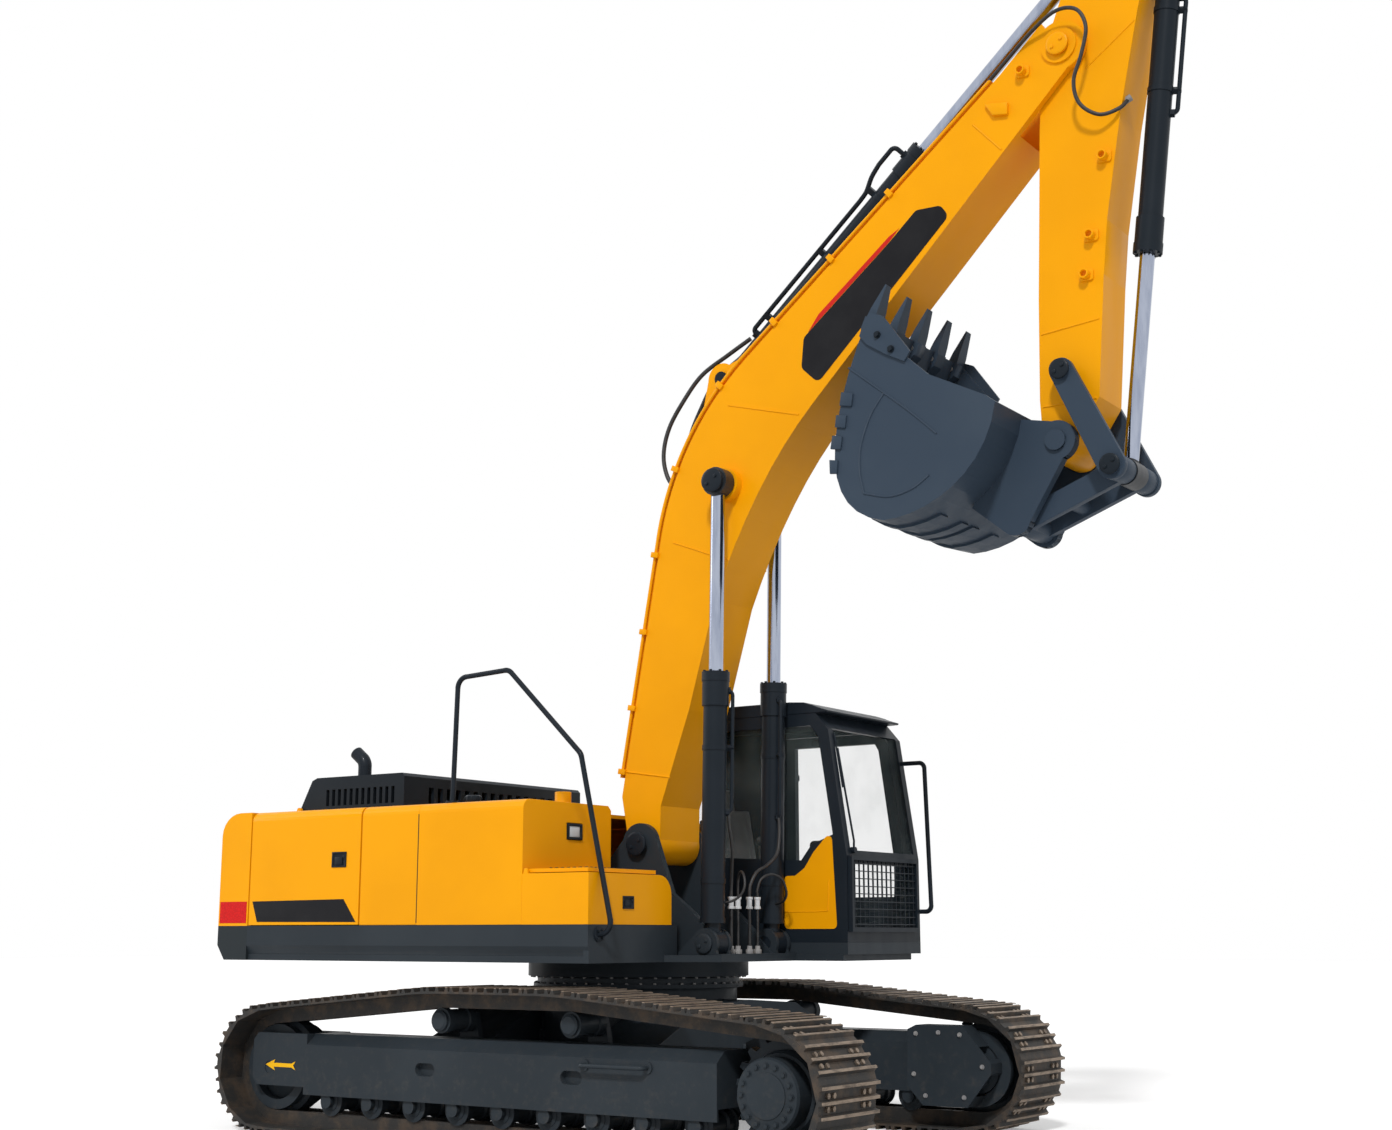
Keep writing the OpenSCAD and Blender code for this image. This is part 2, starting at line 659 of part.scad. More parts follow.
module cab_shell() {
    z0 = cab_z + 74 + seat;
    color(black) place() for (z = door_hinges) translate([door_pin[0], door_pin[1], z]) {
        translate([0, 0, -30]) linear_extrude(30) mirror([1, 0]) hinge_leaf();
        translate([0, 0, -10]) cylinder(r = hinge_r - 1, h = 52);
    }
    color(black) place() difference() {
        intersection() {
            slab(cab_right, cab_left) polygon(cab_side(0));
            translate([-1000, 0, z0]) cube([4000, 2000, 2000]);
        }
        slab(cab_right + wall, cab_left - wall) polygon(concat([[cab_rear + wall, 900], [cab_front - wall, 900]],
            [for (p = cab_side(wall)) if (p[1] > cab_z) p[1] > roof_z - 100 ? p + [0, 100] : p]));
        slab(cab_left - wall - 20, cab_left + 20) door_outline(gap);
        slab(cab_right - 20, cab_right + wall + 20) side_window(0);
        translate([cab_rear - 20, cab_right + 90, 1800]) cube([wall + 60, cab_left - cab_right - 180, 700]);
        translate([900, cab_right + 62, 1760]) cube([600, cab_left - cab_right - 124, 790]);
        translate([1200, cab_right + 62, 1275]) cube([300, cab_left - cab_right - 124, 400]);
    }
}

module cab_roof() {
    z0 = roof_z - 85 + seat;
    color(black) place() slab(cab_right, cab_left) polygon([[cab_rear, z0], [1100, z0], [1188, z0 + 3], [1194, z0 + 14],
        [1120, z0 + 38], [1080, roof_z - 30], [1010, roof_z - 8], [900, roof_z], [cab_rear + 90, roof_z], [cab_rear, roof_z - 50]]);
}

module cab_glass() {
    c = 2 * seat;
    color(glass) place() {
        slab(cab_right + 12, cab_right + 18) side_window(-c);
        translate([cab_rear + 14, cab_right + 90 + c, 1800 + c])
            cube([6, cab_left - cab_right - 180 - 2 * c, 700 - 2 * c]);
        intersection() {
            slab(cab_right + 62 + c, cab_left - 62 - c) polygon([[cab_front - 14, 1725], [1181, 2540], [1175, 2539],
                [cab_front - 20, 1724]] + [[0, 0], [0, 0], [0, 0], [0, 0]]);
            translate([900, 0, 1760 + c]) cube([600, 2000, 790 - 2 * c]);
        }
        translate([cab_front - 20, cab_right + 62 + c, 1275 + c])
            cube([6, cab_left - cab_right - 124 - 2 * c, 400 - 2 * c]);
    }
}

module front_guard() {
    w = cab_left - cab_right - 77;
    color(black) place() translate([cab_front + seat, cab_right + 15, 1245]) {
        difference() {
            cube([30, w, 480]);
            translate([-5, 28, 28]) cube([50, w - 56, 424]);
        }
        for (i = [1:14]) translate([8, i * w / 15 - 3, 14]) cube([10, 6, 452]);
        for (i = [1:9]) translate([8, 14, i * 480 / 10 - 3]) cube([10, w - 28, 6]);
    }
}

module seat_part() {
    color(black) place() translate([120, (cab_left + cab_right) / 2, cab_z + 74 + seat]) {
        translate([40, -190, 0]) cube([360, 380, 260]);
        translate([0, -250, 260]) cube([520, 500, 130]);
        translate([-60, 0, 330]) rotate([0, -10, 0]) translate([0, -240, 0]) cube([120, 480, 560]);
        translate([-152, 0, 860]) rotate([0, -10, 0]) translate([0, -130, 0]) cube([96, 260, 190]);
    }
}

module consoles() {
    m = (cab_left + cab_right) / 2;
    color(black) place() for (s = [-1, 1]) translate([150, m + s * 345, cab_z + 74 + seat]) {
        translate([0, -65, 0]) cube([520, 130, 480]);
        translate([430, 0, 470]) cylinder(r = 14, h = 190);
        translate([430, 0, 660]) sphere(32);
    }
}

// hinge leaf in plan, its pin at the origin and its plate toward +X
module hinge_leaf() {
    circle(14);
    polygon([[0, -14], [16, -22], [74, -22], [74, -8], [0, 14]]);
}

module cab_door() {
    color(black) place() {
        slab(cab_left - wall, cab_left) difference() {
            door_outline(0);
            door_window(0);
        }
        for (z = door_hinges) translate([door_pin[0], door_pin[1], z + gap]) linear_extrude(40) difference() {
            hinge_leaf();
            circle(hinge_r - 1 + run);
        }
    }
}

module door_glass() {
    color(glass) place() slab(cab_left - 20, cab_left - 14) door_window(-seat);
}

// boom side view, in two straight runs joined by a bend on either edge
boom_knee = [[20, 2110], [450, 4482], [2868, 6388]];
boom_bend = 1850;
crowd_ear = crowd_r + gap + 1;
boom_back = bend_pts(boom_knee[0], boom_knee[1], boom_knee[2], boom_bend, 12);
boom_belly = concat([[2925, 5942]], bez2([1500, 4524], [1060, 4086], [754, 3340], 8), [[551, 2643], [330, 2040]]);

module boom_side() {
    polygon(concat([foot_pin + [-118, -40], boom_knee[0]], boom_back, [boom_knee[2], tip_pin + [-110, 175],
        tip_pin + [60, -140]], boom_belly, [foot_pin + [122, 10]]));
    translate(foot_pin) circle(125);
    translate(tip_pin) circle(160);
}

module boom() {
    h = boom_w / 2;
    hole = stick_w / 2 + gap;
    color(yellow) place() {
        difference() {
            union() {
                slab(-h, h) boom_side();
                both() bar(lift_eye, 105, h - 5, lift_y - 52 - gap);
                both() bar(tip_pin, 112, h - 5, h + 14);
                both() slab(crowd_ear, crowd_ear + 45) difference() {
                    union() {
                        translate(crowd_pin) circle(105);
                        polygon([[560, 4440], crowd_pin + [-95, 45], crowd_pin + [60, 85], [1180, 5040]]);
                    }
                    translate(crowd_pin) circle(pin_r + run);
                }
            }
            bar(tip_pin, 572, -hole, hole);
            bar(tip_pin, pin_r + run, -h - 20, h + 20);
        }
        bar(foot_pin, pin_r, -h - 90, h + 90);
    }
}

// line beside the boom's back edge, out by d
function beside_back(d) = let (u = boom_knee[1] - boom_knee[0], v = boom_knee[2] - boom_knee[1],
    m = [-u[1], u[0]] / norm(u), n = [-v[1], v[0]] / norm(v))
    [boom_knee[0] + m * d + u * 0.05, boom_knee[1] + (m + n) * d / (1 + m * n), boom_knee[2] + n * d - v * 0.02];

module boom_pipes() {
    color(yellow) place() both() for (y = [184, 209]) pipe(beside_back(34), boom_bend + 34, 11, y);
}

// cylinder barrel with foot eye and gland, from pin a toward b
module barrel(a, b, r, length, rod_r, w, y = 0) {
    difference() {
        union() {
            bar(a, r + 12, y - w, y + w);
            shaft(a, b, 0, 150, r - 24, y);
            shaft(a, b, 140, length - 10, r, y);
            shaft(a, b, length - 215, length - 10, r + 10, y);
            shaft(a, b, length - 60, length, r + 14, y);
        }
        shaft(a, b, 170, length + 10, rod_r + 1, y);
    }
}

// chromed rod with its eye at b, reaching back by length
module piston(a, b, length, rod_r, eye, w, y = 0) {
    d = norm(b - a);
    shaft(a, b, d - length, d, rod_r, y);
    bar(b, eye, y - w, y + w);
}

module boom_barrels() {
    color(black) place() both() {
        barrel(lift_pin, lift_eye, lift_r, lift_len, 46, 52 - 4, lift_y);
        bar(lift_pin, pin_r, lift_y - 88, lift_y + 88);
    }
}

module boom_rods() {
    color(steel) place() both() {
        piston(lift_pin, lift_eye, 1560, 46, 92, 52 - 4, lift_y);
        bar(lift_eye, 70, lift_y, lift_y + 70);
    }
}

module stick_barrel() {
    color(black) place() {
        barrel(crowd_pin, crowd_eye, crowd_r, crowd_len, 50, crowd_ear - gap);
        bar(crowd_pin, pin_r, -crowd_ear - 60, crowd_ear + 60);
    }
}

module stick_rod() {
    color(steel) place() piston(crowd_pin, crowd_eye, 1950, 50, 92, 60);
}

module stick_side() {
    polygon([crowd_eye + [-105, -10], [3290, 6880], [3165, 6560], [3110, 6250], [3090, 5981], [3042, 4916],
        [3026, 4304], bucket_pin + [-108, 20], bucket_pin + [-40, -105], bucket_pin + [80, -80], [3300, 4130],
        [3395, 4269], [3455, 5000], [3490, 5330], [3600, 5960], [3735, 6580], [3790, 6790], [3780, 7010],
        [3640, 7140], crowd_eye + [95, 50]]);
    translate(crowd_eye) circle(108);
    translate(bucket_pin) circle(112);
}

module stick() {
    h = stick_w / 2;
    color(yellow) place() {
        difference() {
            union() {
                slab(-h, h) stick_side();
                both() slab(64, 104) strap(curl_pin, ear_r, [3650, 6900], 150);
            }
            slab(-67, 67) polygon([[2900, 6735], [3580, 6735], [3580, 7700], [2900, 7700]]);
            bar(guide_pin, pin_r - 5 + run, -h - 10, h + 10);
            bar(bucket_pin, pin_r + run, -h - 10, h + 10);
            bar(curl_pin, pin_r + run, -150, 150);
            bar(curl_pin, curl_r + 12 + gap, -58, 58);
        }
        bar(tip_pin, pin_r, -boom_w / 2 - 30, boom_w / 2 + 30);
        both() bar(crowd_eye, 60, h - 1, h + 20);
    }
}

module bucket_barrel() {
    color(black) place() {
        barrel(curl_pin, curl_eye, curl_r, curl_len, 44, 54);
        bar(curl_pin, pin_r, -118, 118);
    }
}

module bucket_rod() {
    color(steel) place() piston(curl_pin, curl_eye, 1640, 44, 80, 82);
}

module bucket_links() {
    y = stick_w / 2 + 75;
    color(black) place() {
        both() {
            slab(y, y + 40) strap(guide_pin, 72, curl_eye, 82);
            bar(curl_eye, 55, y, y + 62);
            bar(guide_pin, 55, y, y + 60);
        }
        bar(guide_pin, pin_r - 5, -y - 5, y + 5);
    }
}

module bucket_yoke() {
    color(black) place() difference() {
        union() {
            both() slab(102, 150) strap(curl_eye, 66, yoke_pin, 66);
            both() bar(curl_eye, 76, 92, stick_w / 2 + 70);
            bar(yoke_pin, 76, -stick_w / 2, stick_w / 2);
            slab(-112, 112) translate((curl_eye + yoke_pin) / 2 + [-30, -12]) circle(48);
        }
        bar(yoke_pin, pin_r + run, -200, 200);
    }
}

lip = [2124, 4876];
lip_run = (lip - [1965, 4546]) / norm(lip - [1965, 4546]);
lip_out = [-lip_run[1], lip_run[0]];
floor_line = concat(bez3(lip, [1790, 4180], [1780, 3700], [2198, 3612], 12),
    [for (i = [1:10]) bez3([2198, 3612], [2480, 3600], [2880, 3800], [2940, 4214], 10)[i]]);

module bucket_side() {
    polygon(concat(floor_line, [[2880, 4262], [2518, 4449], [2356, 4601], lip + [40, -20]]));
}

// point i of the shell line, drawn in by t
function shell_pt(i, t) = let (n = len(floor_line), a = floor_line[max(0, i - 1)], b = floor_line[min(n - 1, i + 1)],
    d = (b - a) / norm(b - a)) floor_line[i] + t * [-d[1], d[0]];

// shell line drawn in by t
module bucket_hollow(t = bucket_t) {
    polygon(concat([for (i = [0:len(floor_line) - 1]) shell_pt(i, t)], [[3100, 4500], [2700, 5000], [2300, 5100]]));
}

// strip of plate on the outside of the shell, from point i0 to point i1
module wear_strip(i0, i1, t) {
    polygon(concat([for (i = [i0:i1]) shell_pt(i, -t)], [for (i = [i1:-1:i0]) shell_pt(i, bucket_t / 2)]));
}

// jaws of a tooth's holder, astride the lip
module adapter() {
    polygon([lip - lip_run * 130 + lip_out * 3, lip - lip_run * 70 + lip_out * 22, lip + lip_run * 0.8 + lip_out * 22,
        lip + lip_run * 0.8 - lip_out * 60, lip - lip_run * 80 - lip_out * 60, lip - lip_run * 150 - lip_out * 26]);
}

module at_teeth() {
    span = bucket_w - tooth_w - 2 * gap;
    for (i = [0:tooth_count - 1]) translate([0, span * (i / (tooth_count - 1) - 0.5), 0]) children();
}

module bucket() {
    h = bucket_w / 2;
    e = stick_w / 2 + gap + 2;
    color(slate) place() {
        difference() {
            slab(-h, h) bucket_side();
            slab(bucket_t - h, h - bucket_t) bucket_hollow();
        }
        both() slab(e, e + 60) difference() {
            union() {
                translate(bucket_pin) circle(118);
                translate(yoke_pin) circle(95);
                polygon([bucket_pin + [40, -110], bucket_pin + [-20, 116], [2890, 4200], [2600, 3700],
                    yoke_pin + [-60, -74], yoke_pin + [60, -72]]);
            }
            bucket_hollow(bucket_t / 2);
        }
        both() for (y = [30, 300]) slab(y, y + 90) wear_strip(7, 15, 14);
        both() slab(h - 1, h + 16) polygon([lip + [-22, -30], lip + [20, 20], lip + [110, -20], [2410, 4606],
            [2370, 4550], [2240, 4620], [2120, 4700], [2070, 4760]]);
        at_teeth() slab(-tooth_w / 2, tooth_w / 2) adapter();
        both() bar(bucket_pin, 62, e + 55, e + 80);
        bar(bucket_pin, pin_r, -e - 10, e + 10);
        bar(yoke_pin, pin_r, -e - 10, e + 10);
    }
}

module bucket_teeth() {
    h = tooth_w / 2;
    color(slate) place() at_teeth() intersection() {
        slab(-h, h) polygon([lip + lip_run * 1 - lip_out * 52, lip + lip_run * (tooth_len - 4) - lip_out * 24,
            lip + lip_run * tooth_len - lip_out * 14, lip + lip_run * 1 + lip_out * 12]);
        translate([lip[0], 0, lip[1]]) rotate([0, atan2(lip_run[0], lip_run[1]), 0]) beam(-150, 150)
            polygon([[-h, -5], [-h, 60], [-h / 2, tooth_len + 14], [h / 2, tooth_len + 14], [h, 60], [h, -5]]);
    }
}

track_left();
track_right();
track_frames();
idlers();
track_rollers();
carrier_rollers();
sprockets();
carbody();
slew_ring();
deck();
counterweight();
engine();
right_panel();
pump_door();
radiator_door();
left_door();
left_panel();
fuel_tank();
tool_box();
tool_box_lid();
top_deck();
hood();
handrails();
cab_floor();
cab_shell();
cab_roof();
cab_glass();
front_guard();
seat_part();  // seat
consoles();
cab_door();
door_glass();
boom();
boom_pipes();
boom_barrels();
boom_rods();
stick_barrel();
stick_rod();
stick();
bucket_barrel();
bucket_rod();
bucket_links();
bucket_yoke();
bucket();
bucket_teeth();
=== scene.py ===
import math

import bpy
from mathutils import Matrix, Vector


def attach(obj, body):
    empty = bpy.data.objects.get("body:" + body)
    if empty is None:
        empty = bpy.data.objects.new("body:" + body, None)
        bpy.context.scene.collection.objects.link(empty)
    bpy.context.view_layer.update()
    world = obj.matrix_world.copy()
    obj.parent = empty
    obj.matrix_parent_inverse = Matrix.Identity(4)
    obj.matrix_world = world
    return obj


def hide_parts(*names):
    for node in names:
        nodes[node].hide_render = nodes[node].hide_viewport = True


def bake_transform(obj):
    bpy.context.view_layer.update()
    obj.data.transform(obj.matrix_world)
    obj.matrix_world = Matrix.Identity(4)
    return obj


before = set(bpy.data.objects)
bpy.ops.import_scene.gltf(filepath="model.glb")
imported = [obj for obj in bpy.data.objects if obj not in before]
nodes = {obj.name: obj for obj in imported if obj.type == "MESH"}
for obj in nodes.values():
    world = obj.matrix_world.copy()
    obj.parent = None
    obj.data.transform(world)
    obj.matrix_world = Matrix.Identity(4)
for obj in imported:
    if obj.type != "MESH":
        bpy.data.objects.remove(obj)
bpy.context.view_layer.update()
originX = 0.575  # the drawing's swing axis, ahead of the frame's origin
print("frame loaded:", len(nodes), "nodes")


def at(x, y, z):
    return Vector((x - originX, y, z))


class Wire:
    # one output socket; sums and products of wires add Math nodes
    def __init__(self, finish, socket):
        self.finish = finish
        self.socket = socket

    def calc(self, operation, *values):
        return self.finish.node("ShaderNodeMath", {"operation": operation}, *values)

    def __add__(self, other):
        return self.calc("ADD", self, other)

    __radd__ = __add__

    def __sub__(self, other):
        return self.calc("SUBTRACT", self, other)

    def __rsub__(self, other):
        return self.calc("SUBTRACT", other, self)

    def __mul__(self, other):
        return self.calc("MULTIPLY", self, other)

    __rmul__ = __mul__

    def ramp(self, low, high):
        smooth = {"interpolation_type": "SMOOTHSTEP"}
        return self.finish.node("ShaderNodeMapRange", smooth, self, low, high, 0.0, 1.0)


class Finish:
    # a material and the nodes behind its shader
    def __init__(self, name, **fixed):
        self.material = bpy.data.materials.new(name)
        self.material.use_nodes = True
        self.tree = self.material.node_tree
        self.shader = self.tree.nodes["Principled BSDF"]
        self.place = self.node("ShaderNodeTexCoord", out="Object")
        self.set(**fixed)

    def feed(self, socket, value):
        if isinstance(value, Wire):
            self.tree.links.new(value.socket, socket)
        elif hasattr(socket.default_value, "__len__") and len(socket.default_value) == 4 and len(value) == 3:
            socket.default_value = (*value, 1.0)
        else:
            socket.default_value = value

    def node(self, kind, settings=None, *values, out=0, **named):
        made = self.tree.nodes.new(kind)
        for key, value in (settings or {}).items():
            setattr(made, key, value)
        for socket, value in zip(made.inputs, values):
            if value is not None:
                self.feed(socket, value)
        for key, value in named.items():
            self.feed(made.inputs[key.replace("_", " ")], value)
        return Wire(self, made.outputs[out])

    def noise(self, scale, detail=4.0, roughness=0.55, stretch=None):
        where = self.place
        if stretch:
            where = self.node("ShaderNodeMapping", None, where, Scale=stretch)
        return self.node("ShaderNodeTexNoise", None, where, Scale=scale, Detail=detail, Roughness=roughness)

    def height(self):
        return self.node("ShaderNodeSeparateXYZ", None, self.place, out="Z")

    def facing(self):
        normal = self.node("ShaderNodeNewGeometry", out="Normal")
        return self.node("ShaderNodeSeparateXYZ", None, normal, out="Z")

    def blendColours(self, share, first, second):
        made = self.tree.nodes.new("ShaderNodeMix")
        made.data_type = "RGBA"
        self.feed(made.inputs[0], share)
        self.feed(made.inputs[6], first)
        self.feed(made.inputs[7], second)
        return Wire(self, made.outputs[2])

    def tone(self, share, first, second, **sockets):
        self.set(Base_Color=self.blendColours(share, first, second), **sockets)

    def bump(self, amount, height, distance=0.001):
        normal = self.node("ShaderNodeBump", None, Strength=amount, Distance=distance, Height=height)
        self.feed(self.shader.inputs["Normal"], normal)
        return self.material

    def set(self, **sockets):
        for key, value in sockets.items():
            self.feed(self.shader.inputs[key.replace("_", " ")], value)


# finishes
def enamel(name, light, deep, roughness, dust=0.0, dustTop=0.0, coat=0.3, band=None):
    # sprayed paint: slow tone drift, orange peel, dust on ledges and near the ground,
    # and where wanted a dark band below a height
    f = Finish(name, Coat_Roughness=0.12, Specular_IOR_Level=0.1)
    drift = f.noise(1.3, 3.0).ramp(0.35, 0.7)
    colour = f.blendColours(drift, light, deep)
    if band:
        colour = f.blendColours(f.height().ramp(band[0] - 0.001, band[0] + 0.001), band[1], colour)
    speck = f.noise(14.0, 8.0, 0.72).ramp(0.48, 0.8)
    if dust:
        low = 1 - f.height().ramp(0.0, dustTop)
        ledge = f.facing().ramp(0.6, 0.95)
        share = (low + ledge * 0.35) * speck * dust
        colour = f.blendColours(share, colour, (0.19, 0.15, 0.11))
    streak = f.noise(9.0, 5.0, 0.6, (1.0, 1.0, 0.12)).ramp(0.35, 0.75)
    f.set(Base_Color=colour, Roughness=roughness + 0.12 * streak + 0.05 * speck,
          Coat_Weight=coat * (1 - 0.4 * streak))
    return f.bump(0.05, f.noise(260.0, 2.0, 0.4), 0.0006)


yellow = ((0.90, 0.372, 0.001), (0.85, 0.345, 0.001), 0.34, 0.06, 1.3, 0.03)
yellowPaint = enamel("yellowPaint", *yellow)
weightPaint = enamel("weightPaint", *yellow, (1.285, (0.022, 0.028, 0.032)))
slatePaint = enamel("slatePaint", (0.024, 0.031, 0.038), (0.030, 0.038, 0.046), 0.38, 0.20, 0.9, 0.04)
blackPaint = enamel("blackPaint", (0.010, 0.015, 0.021), (0.014, 0.019, 0.026), 0.34, 0.05, 0.6, 0.06)
bucketPaint = enamel("bucketPaint", (0.036, 0.054, 0.080), (0.043, 0.062, 0.088), 0.42, 0.05, 0.4, 0.04)


def wornTrack():
    f = Finish("trackIron", Metallic=0.55)
    rust = f.noise(6.0, 6.0, 0.65).ramp(0.42, 0.68)
    grit = f.noise(70.0, 5.0, 0.7)
    colour = f.blendColours(rust, (0.035, 0.034, 0.033), (0.085, 0.062, 0.045))
    f.tone(grit.ramp(0.55, 0.8) * 0.6, colour, (0.16, 0.125, 0.095), Roughness=0.5 + 0.25 * grit)
    return f.bump(0.35, grit, 0.002)


def wornTip():
    f = Finish("grouserTip", Metallic=0.6)
    scuff = f.noise(40.0, 6.0, 0.7, (1.0, 0.25, 1.0))
    f.tone(scuff.ramp(0.4, 0.7), (0.30, 0.235, 0.18), (0.12, 0.095, 0.075), Roughness=0.45 + 0.3 * scuff)
    return f.bump(0.3, scuff, 0.0015)


def chromeRod(name, eye, reach):
    # hard chrome, with the forged eye painted black
    f = Finish(name)
    oil = f.noise(24.0, 4.0, 0.6, (1.0, 1.0, 0.15)).ramp(0.3, 0.8)
    middle = at(eye[0], 0, eye[1])
    x = f.node("ShaderNodeSeparateXYZ", None, f.place, out="X") - middle.x
    z = f.height() - middle.z
    bare = (x * x + z * z).ramp((reach - 0.002) ** 2, reach ** 2)
    steel = f.blendColours(oil, (0.42, 0.46, 0.56), (0.30, 0.34, 0.44))
    f.tone(bare, (0.014, 0.017, 0.021), steel, Metallic=bare, Roughness=0.42 - 0.32 * bare + 0.08 * oil)
    return f.material


def windowGlass():
    f = Finish("windowGlass", IOR=1.5, Specular_IOR_Level=0.2)
    film = f.noise(3.0, 4.0).ramp(0.4, 0.75)
    f.tone(film, (0.16, 0.22, 0.22), (0.30, 0.36, 0.35), Roughness=0.03 + 0.05 * film, Alpha=0.045 + 0.04 * film)
    return f.material


def rubberHose():
    f = Finish("rubberHose")
    dull = f.noise(30.0, 4.0)
    f.tone(dull.ramp(0.4, 0.7), (0.010, 0.010, 0.011), (0.024, 0.024, 0.025), Roughness=0.42 + 0.2 * dull)
    return f.bump(0.2, f.node("ShaderNodeTexVoronoi", None, f.place, Scale=420.0), 0.0006)


def seatCloth():
    f = Finish("seatCloth", Sheen_Weight=0.3)
    weave = f.node("ShaderNodeTexWave", {"bands_direction": "Y"}, f.place, Scale=160.0, Distortion=0.6)
    cross = f.node("ShaderNodeTexWave", {"bands_direction": "Z"}, f.place, Scale=160.0, Distortion=0.6)
    thread = weave * 0.5 + cross * 0.5
    f.tone(thread, (0.030, 0.032, 0.034), (0.075, 0.078, 0.080), Roughness=0.8 + 0.1 * thread)
    return f.bump(0.5, thread, 0.0012)


def grained(name, dark, light, roughness=0.55):
    f = Finish(name, Specular_IOR_Level=0.15)
    grain = f.node("ShaderNodeTexVoronoi", None, f.place, Scale=300.0)
    tone = f.noise(5.0).ramp(0.35, 0.7)
    f.tone(tone, dark, light, Roughness=roughness + 0.15 * grain)
    return f.bump(0.3, grain, 0.0006)


def reflectorRed():
    f = Finish("reflectorRed", Coat_Roughness=0.05, Specular_IOR_Level=0.15)
    cell = f.node("ShaderNodeTexVoronoi", {"feature": "DISTANCE_TO_EDGE"}, f.place, Scale=55.0)
    f.tone(cell.ramp(0.0, 0.2), (0.52, 0.004, 0.004), (0.66, 0.005, 0.005),
           Roughness=0.3 + 0.2 * cell, Coat_Weight=0.08 + 0.05 * cell)
    return f.bump(0.4, cell, 0.001)


trackIron = wornTrack()
grouserTip = wornTip()
liftChrome = chromeRod("liftChrome", (0.863, 4.079), 0.101)
crowdChrome = chromeRod("crowdChrome", (3.450, 7.186), 0.101)
curlChrome = chromeRod("curlChrome", (3.494, 3.827), 0.090)
glass = windowGlass()
rubber = rubberHose()
cloth = seatCloth()
cabPlastic = grained("cabPlastic", (0.018, 0.018, 0.020), (0.032, 0.032, 0.034))
blackDecal = grained("blackDecal", (0.006, 0.006, 0.008), (0.010, 0.010, 0.012), 0.28)
redDecal = grained("redDecal", (0.62, 0.020, 0.012), (0.54, 0.016, 0.010), 0.3)
yellowDecal = grained("yellowDecal", (0.90, 0.48, 0.006), (0.80, 0.42, 0.005), 0.35)
clampWhite = grained("clampWhite", (0.62, 0.63, 0.64), (0.50, 0.51, 0.52), 0.4)
zincSteel = grained("zincSteel", (0.22, 0.22, 0.23), (0.32, 0.31, 0.30), 0.4)
red = reflectorRed()
print("finishes made:", len(bpy.data.materials))

dress = {
    "track_left track_right": trackIron,
    "carbody track_frames idlers track_rollers carrier_rollers sprockets slew_ring deck cab_floor": slatePaint,
    "counterweight": weightPaint,
    "right_panel left_panel fuel_tank tool_box tool_box_lid top_deck": yellowPaint,
    "pump_door radiator_door left_door boom boom_pipes stick": yellowPaint,
    "hood handrails cab_shell cab_roof cab_door front_guard engine": blackPaint,
    "boom_barrels stick_barrel bucket_barrel": blackPaint,
    "bucket_links bucket_yoke bucket bucket_teeth": bucketPaint,
    "boom_rods": liftChrome,
    "stick_rod": crowdChrome,
    "bucket_rod": curlChrome,
    "cab_glass door_glass": glass,
    "seat": cloth,
    "consoles": cabPlastic,
}


def paint(o, finish):
    o.data.materials.clear()
    o.data.materials.append(finish)


def bevelled(o, width, segments, angle):
    edge = o.modifiers.new("edge", "BEVEL")
    edge.width = width
    edge.segments = segments
    edge.limit_method = "ANGLE"
    edge.angle_limit = math.radians(angle)
    return edge


for names, finish in dress.items():
    for n in names.split():
        paint(nodes[n], finish)


def softEdges(names, width, segments=2):
    # rolled and ground edges on the plain solids
    for n in names.split():
        o = nodes[n]
        weld = o.modifiers.new("weld", "WELD")
        weld.merge_threshold = 0.00002
        flat = o.modifiers.new("flat", "DECIMATE")
        flat.decimate_type = "DISSOLVE"
        flat.angle_limit = math.radians(0.6)
        bevelled(o, width, segments, 32).miter_outer = "MITER_ARC"


softEdges("counterweight", 0.025, 3)
softEdges("fuel_tank tool_box boom stick", 0.008)
softEdges("right_panel pump_door left_door tool_box_lid cab_roof", 0.006)
softEdges("cab_shell cab_door deck carbody track_frames", 0.005)
softEdges("bucket bucket_links bucket_yoke", 0.005)
print("edges softened")


slots = {
    yellowPaint: "yellow_paint",
    weightPaint: "yellow_paint",
    slatePaint: "slate_paint",
    blackPaint: "black_paint",
    bucketPaint: "slate_paint",
    cabPlastic: "console_plastic",
    cloth: "seat_cloth",
    grouserTip: "iron",
}


def clearAll():
    bpy.ops.object.select_all(action="DESELECT")


def hold(o):
    clearAll()
    o.select_set(True)
    bpy.context.view_layer.objects.active = o


def shape(o, action, test=None):
    # run an edit-mode action on the faces that pass the test, or on all
    hold(o)
    bpy.context.tool_settings.mesh_select_mode = (False, False, True)
    for group in (o.data.vertices, o.data.edges, o.data.polygons):
        for item in group:
            item.select = False
    for face in o.data.polygons:
        face.select = test is None or test(face)
    bpy.ops.object.mode_set(mode="EDIT")
    action()
    bpy.ops.object.mode_set(mode="OBJECT")


def fixPlace():
    bpy.ops.object.transform_apply(location=True, rotation=True, scale=True)


def settle(o, name, body, finish, edge=0.0, segments=2):
    # place and edges go into the mesh, then the piece, or its joined parts, is dressed and rides
    if isinstance(o, list):
        o = joined(o)
    hold(o)
    o.name = name
    fixPlace()
    if edge:
        bevelled(o, edge, segments, 35)
        bpy.ops.object.modifier_apply(modifier="edge")
    bpy.ops.object.shade_smooth_by_angle(angle=math.radians(40))
    paint(o, finish)
    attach(o, body)
    finish in slots
    return o


def joined(parts):
    clearAll()
    for o in parts:
        o.select_set(True)
    bpy.context.view_layer.objects.active = parts[0]
    if len(parts) > 1:
        bpy.ops.object.join()
    fixPlace()
    return parts[0]


def copies(o, places):
    # one modelled piece set down at every place, each copy with its own mesh
    made = []
    for place in places:
        hold(o)
        bpy.ops.object.duplicate()
        bpy.context.object.matrix_world = place
        made.append(bpy.context.object)
    bpy.data.objects.remove(o)
    return joined(made)


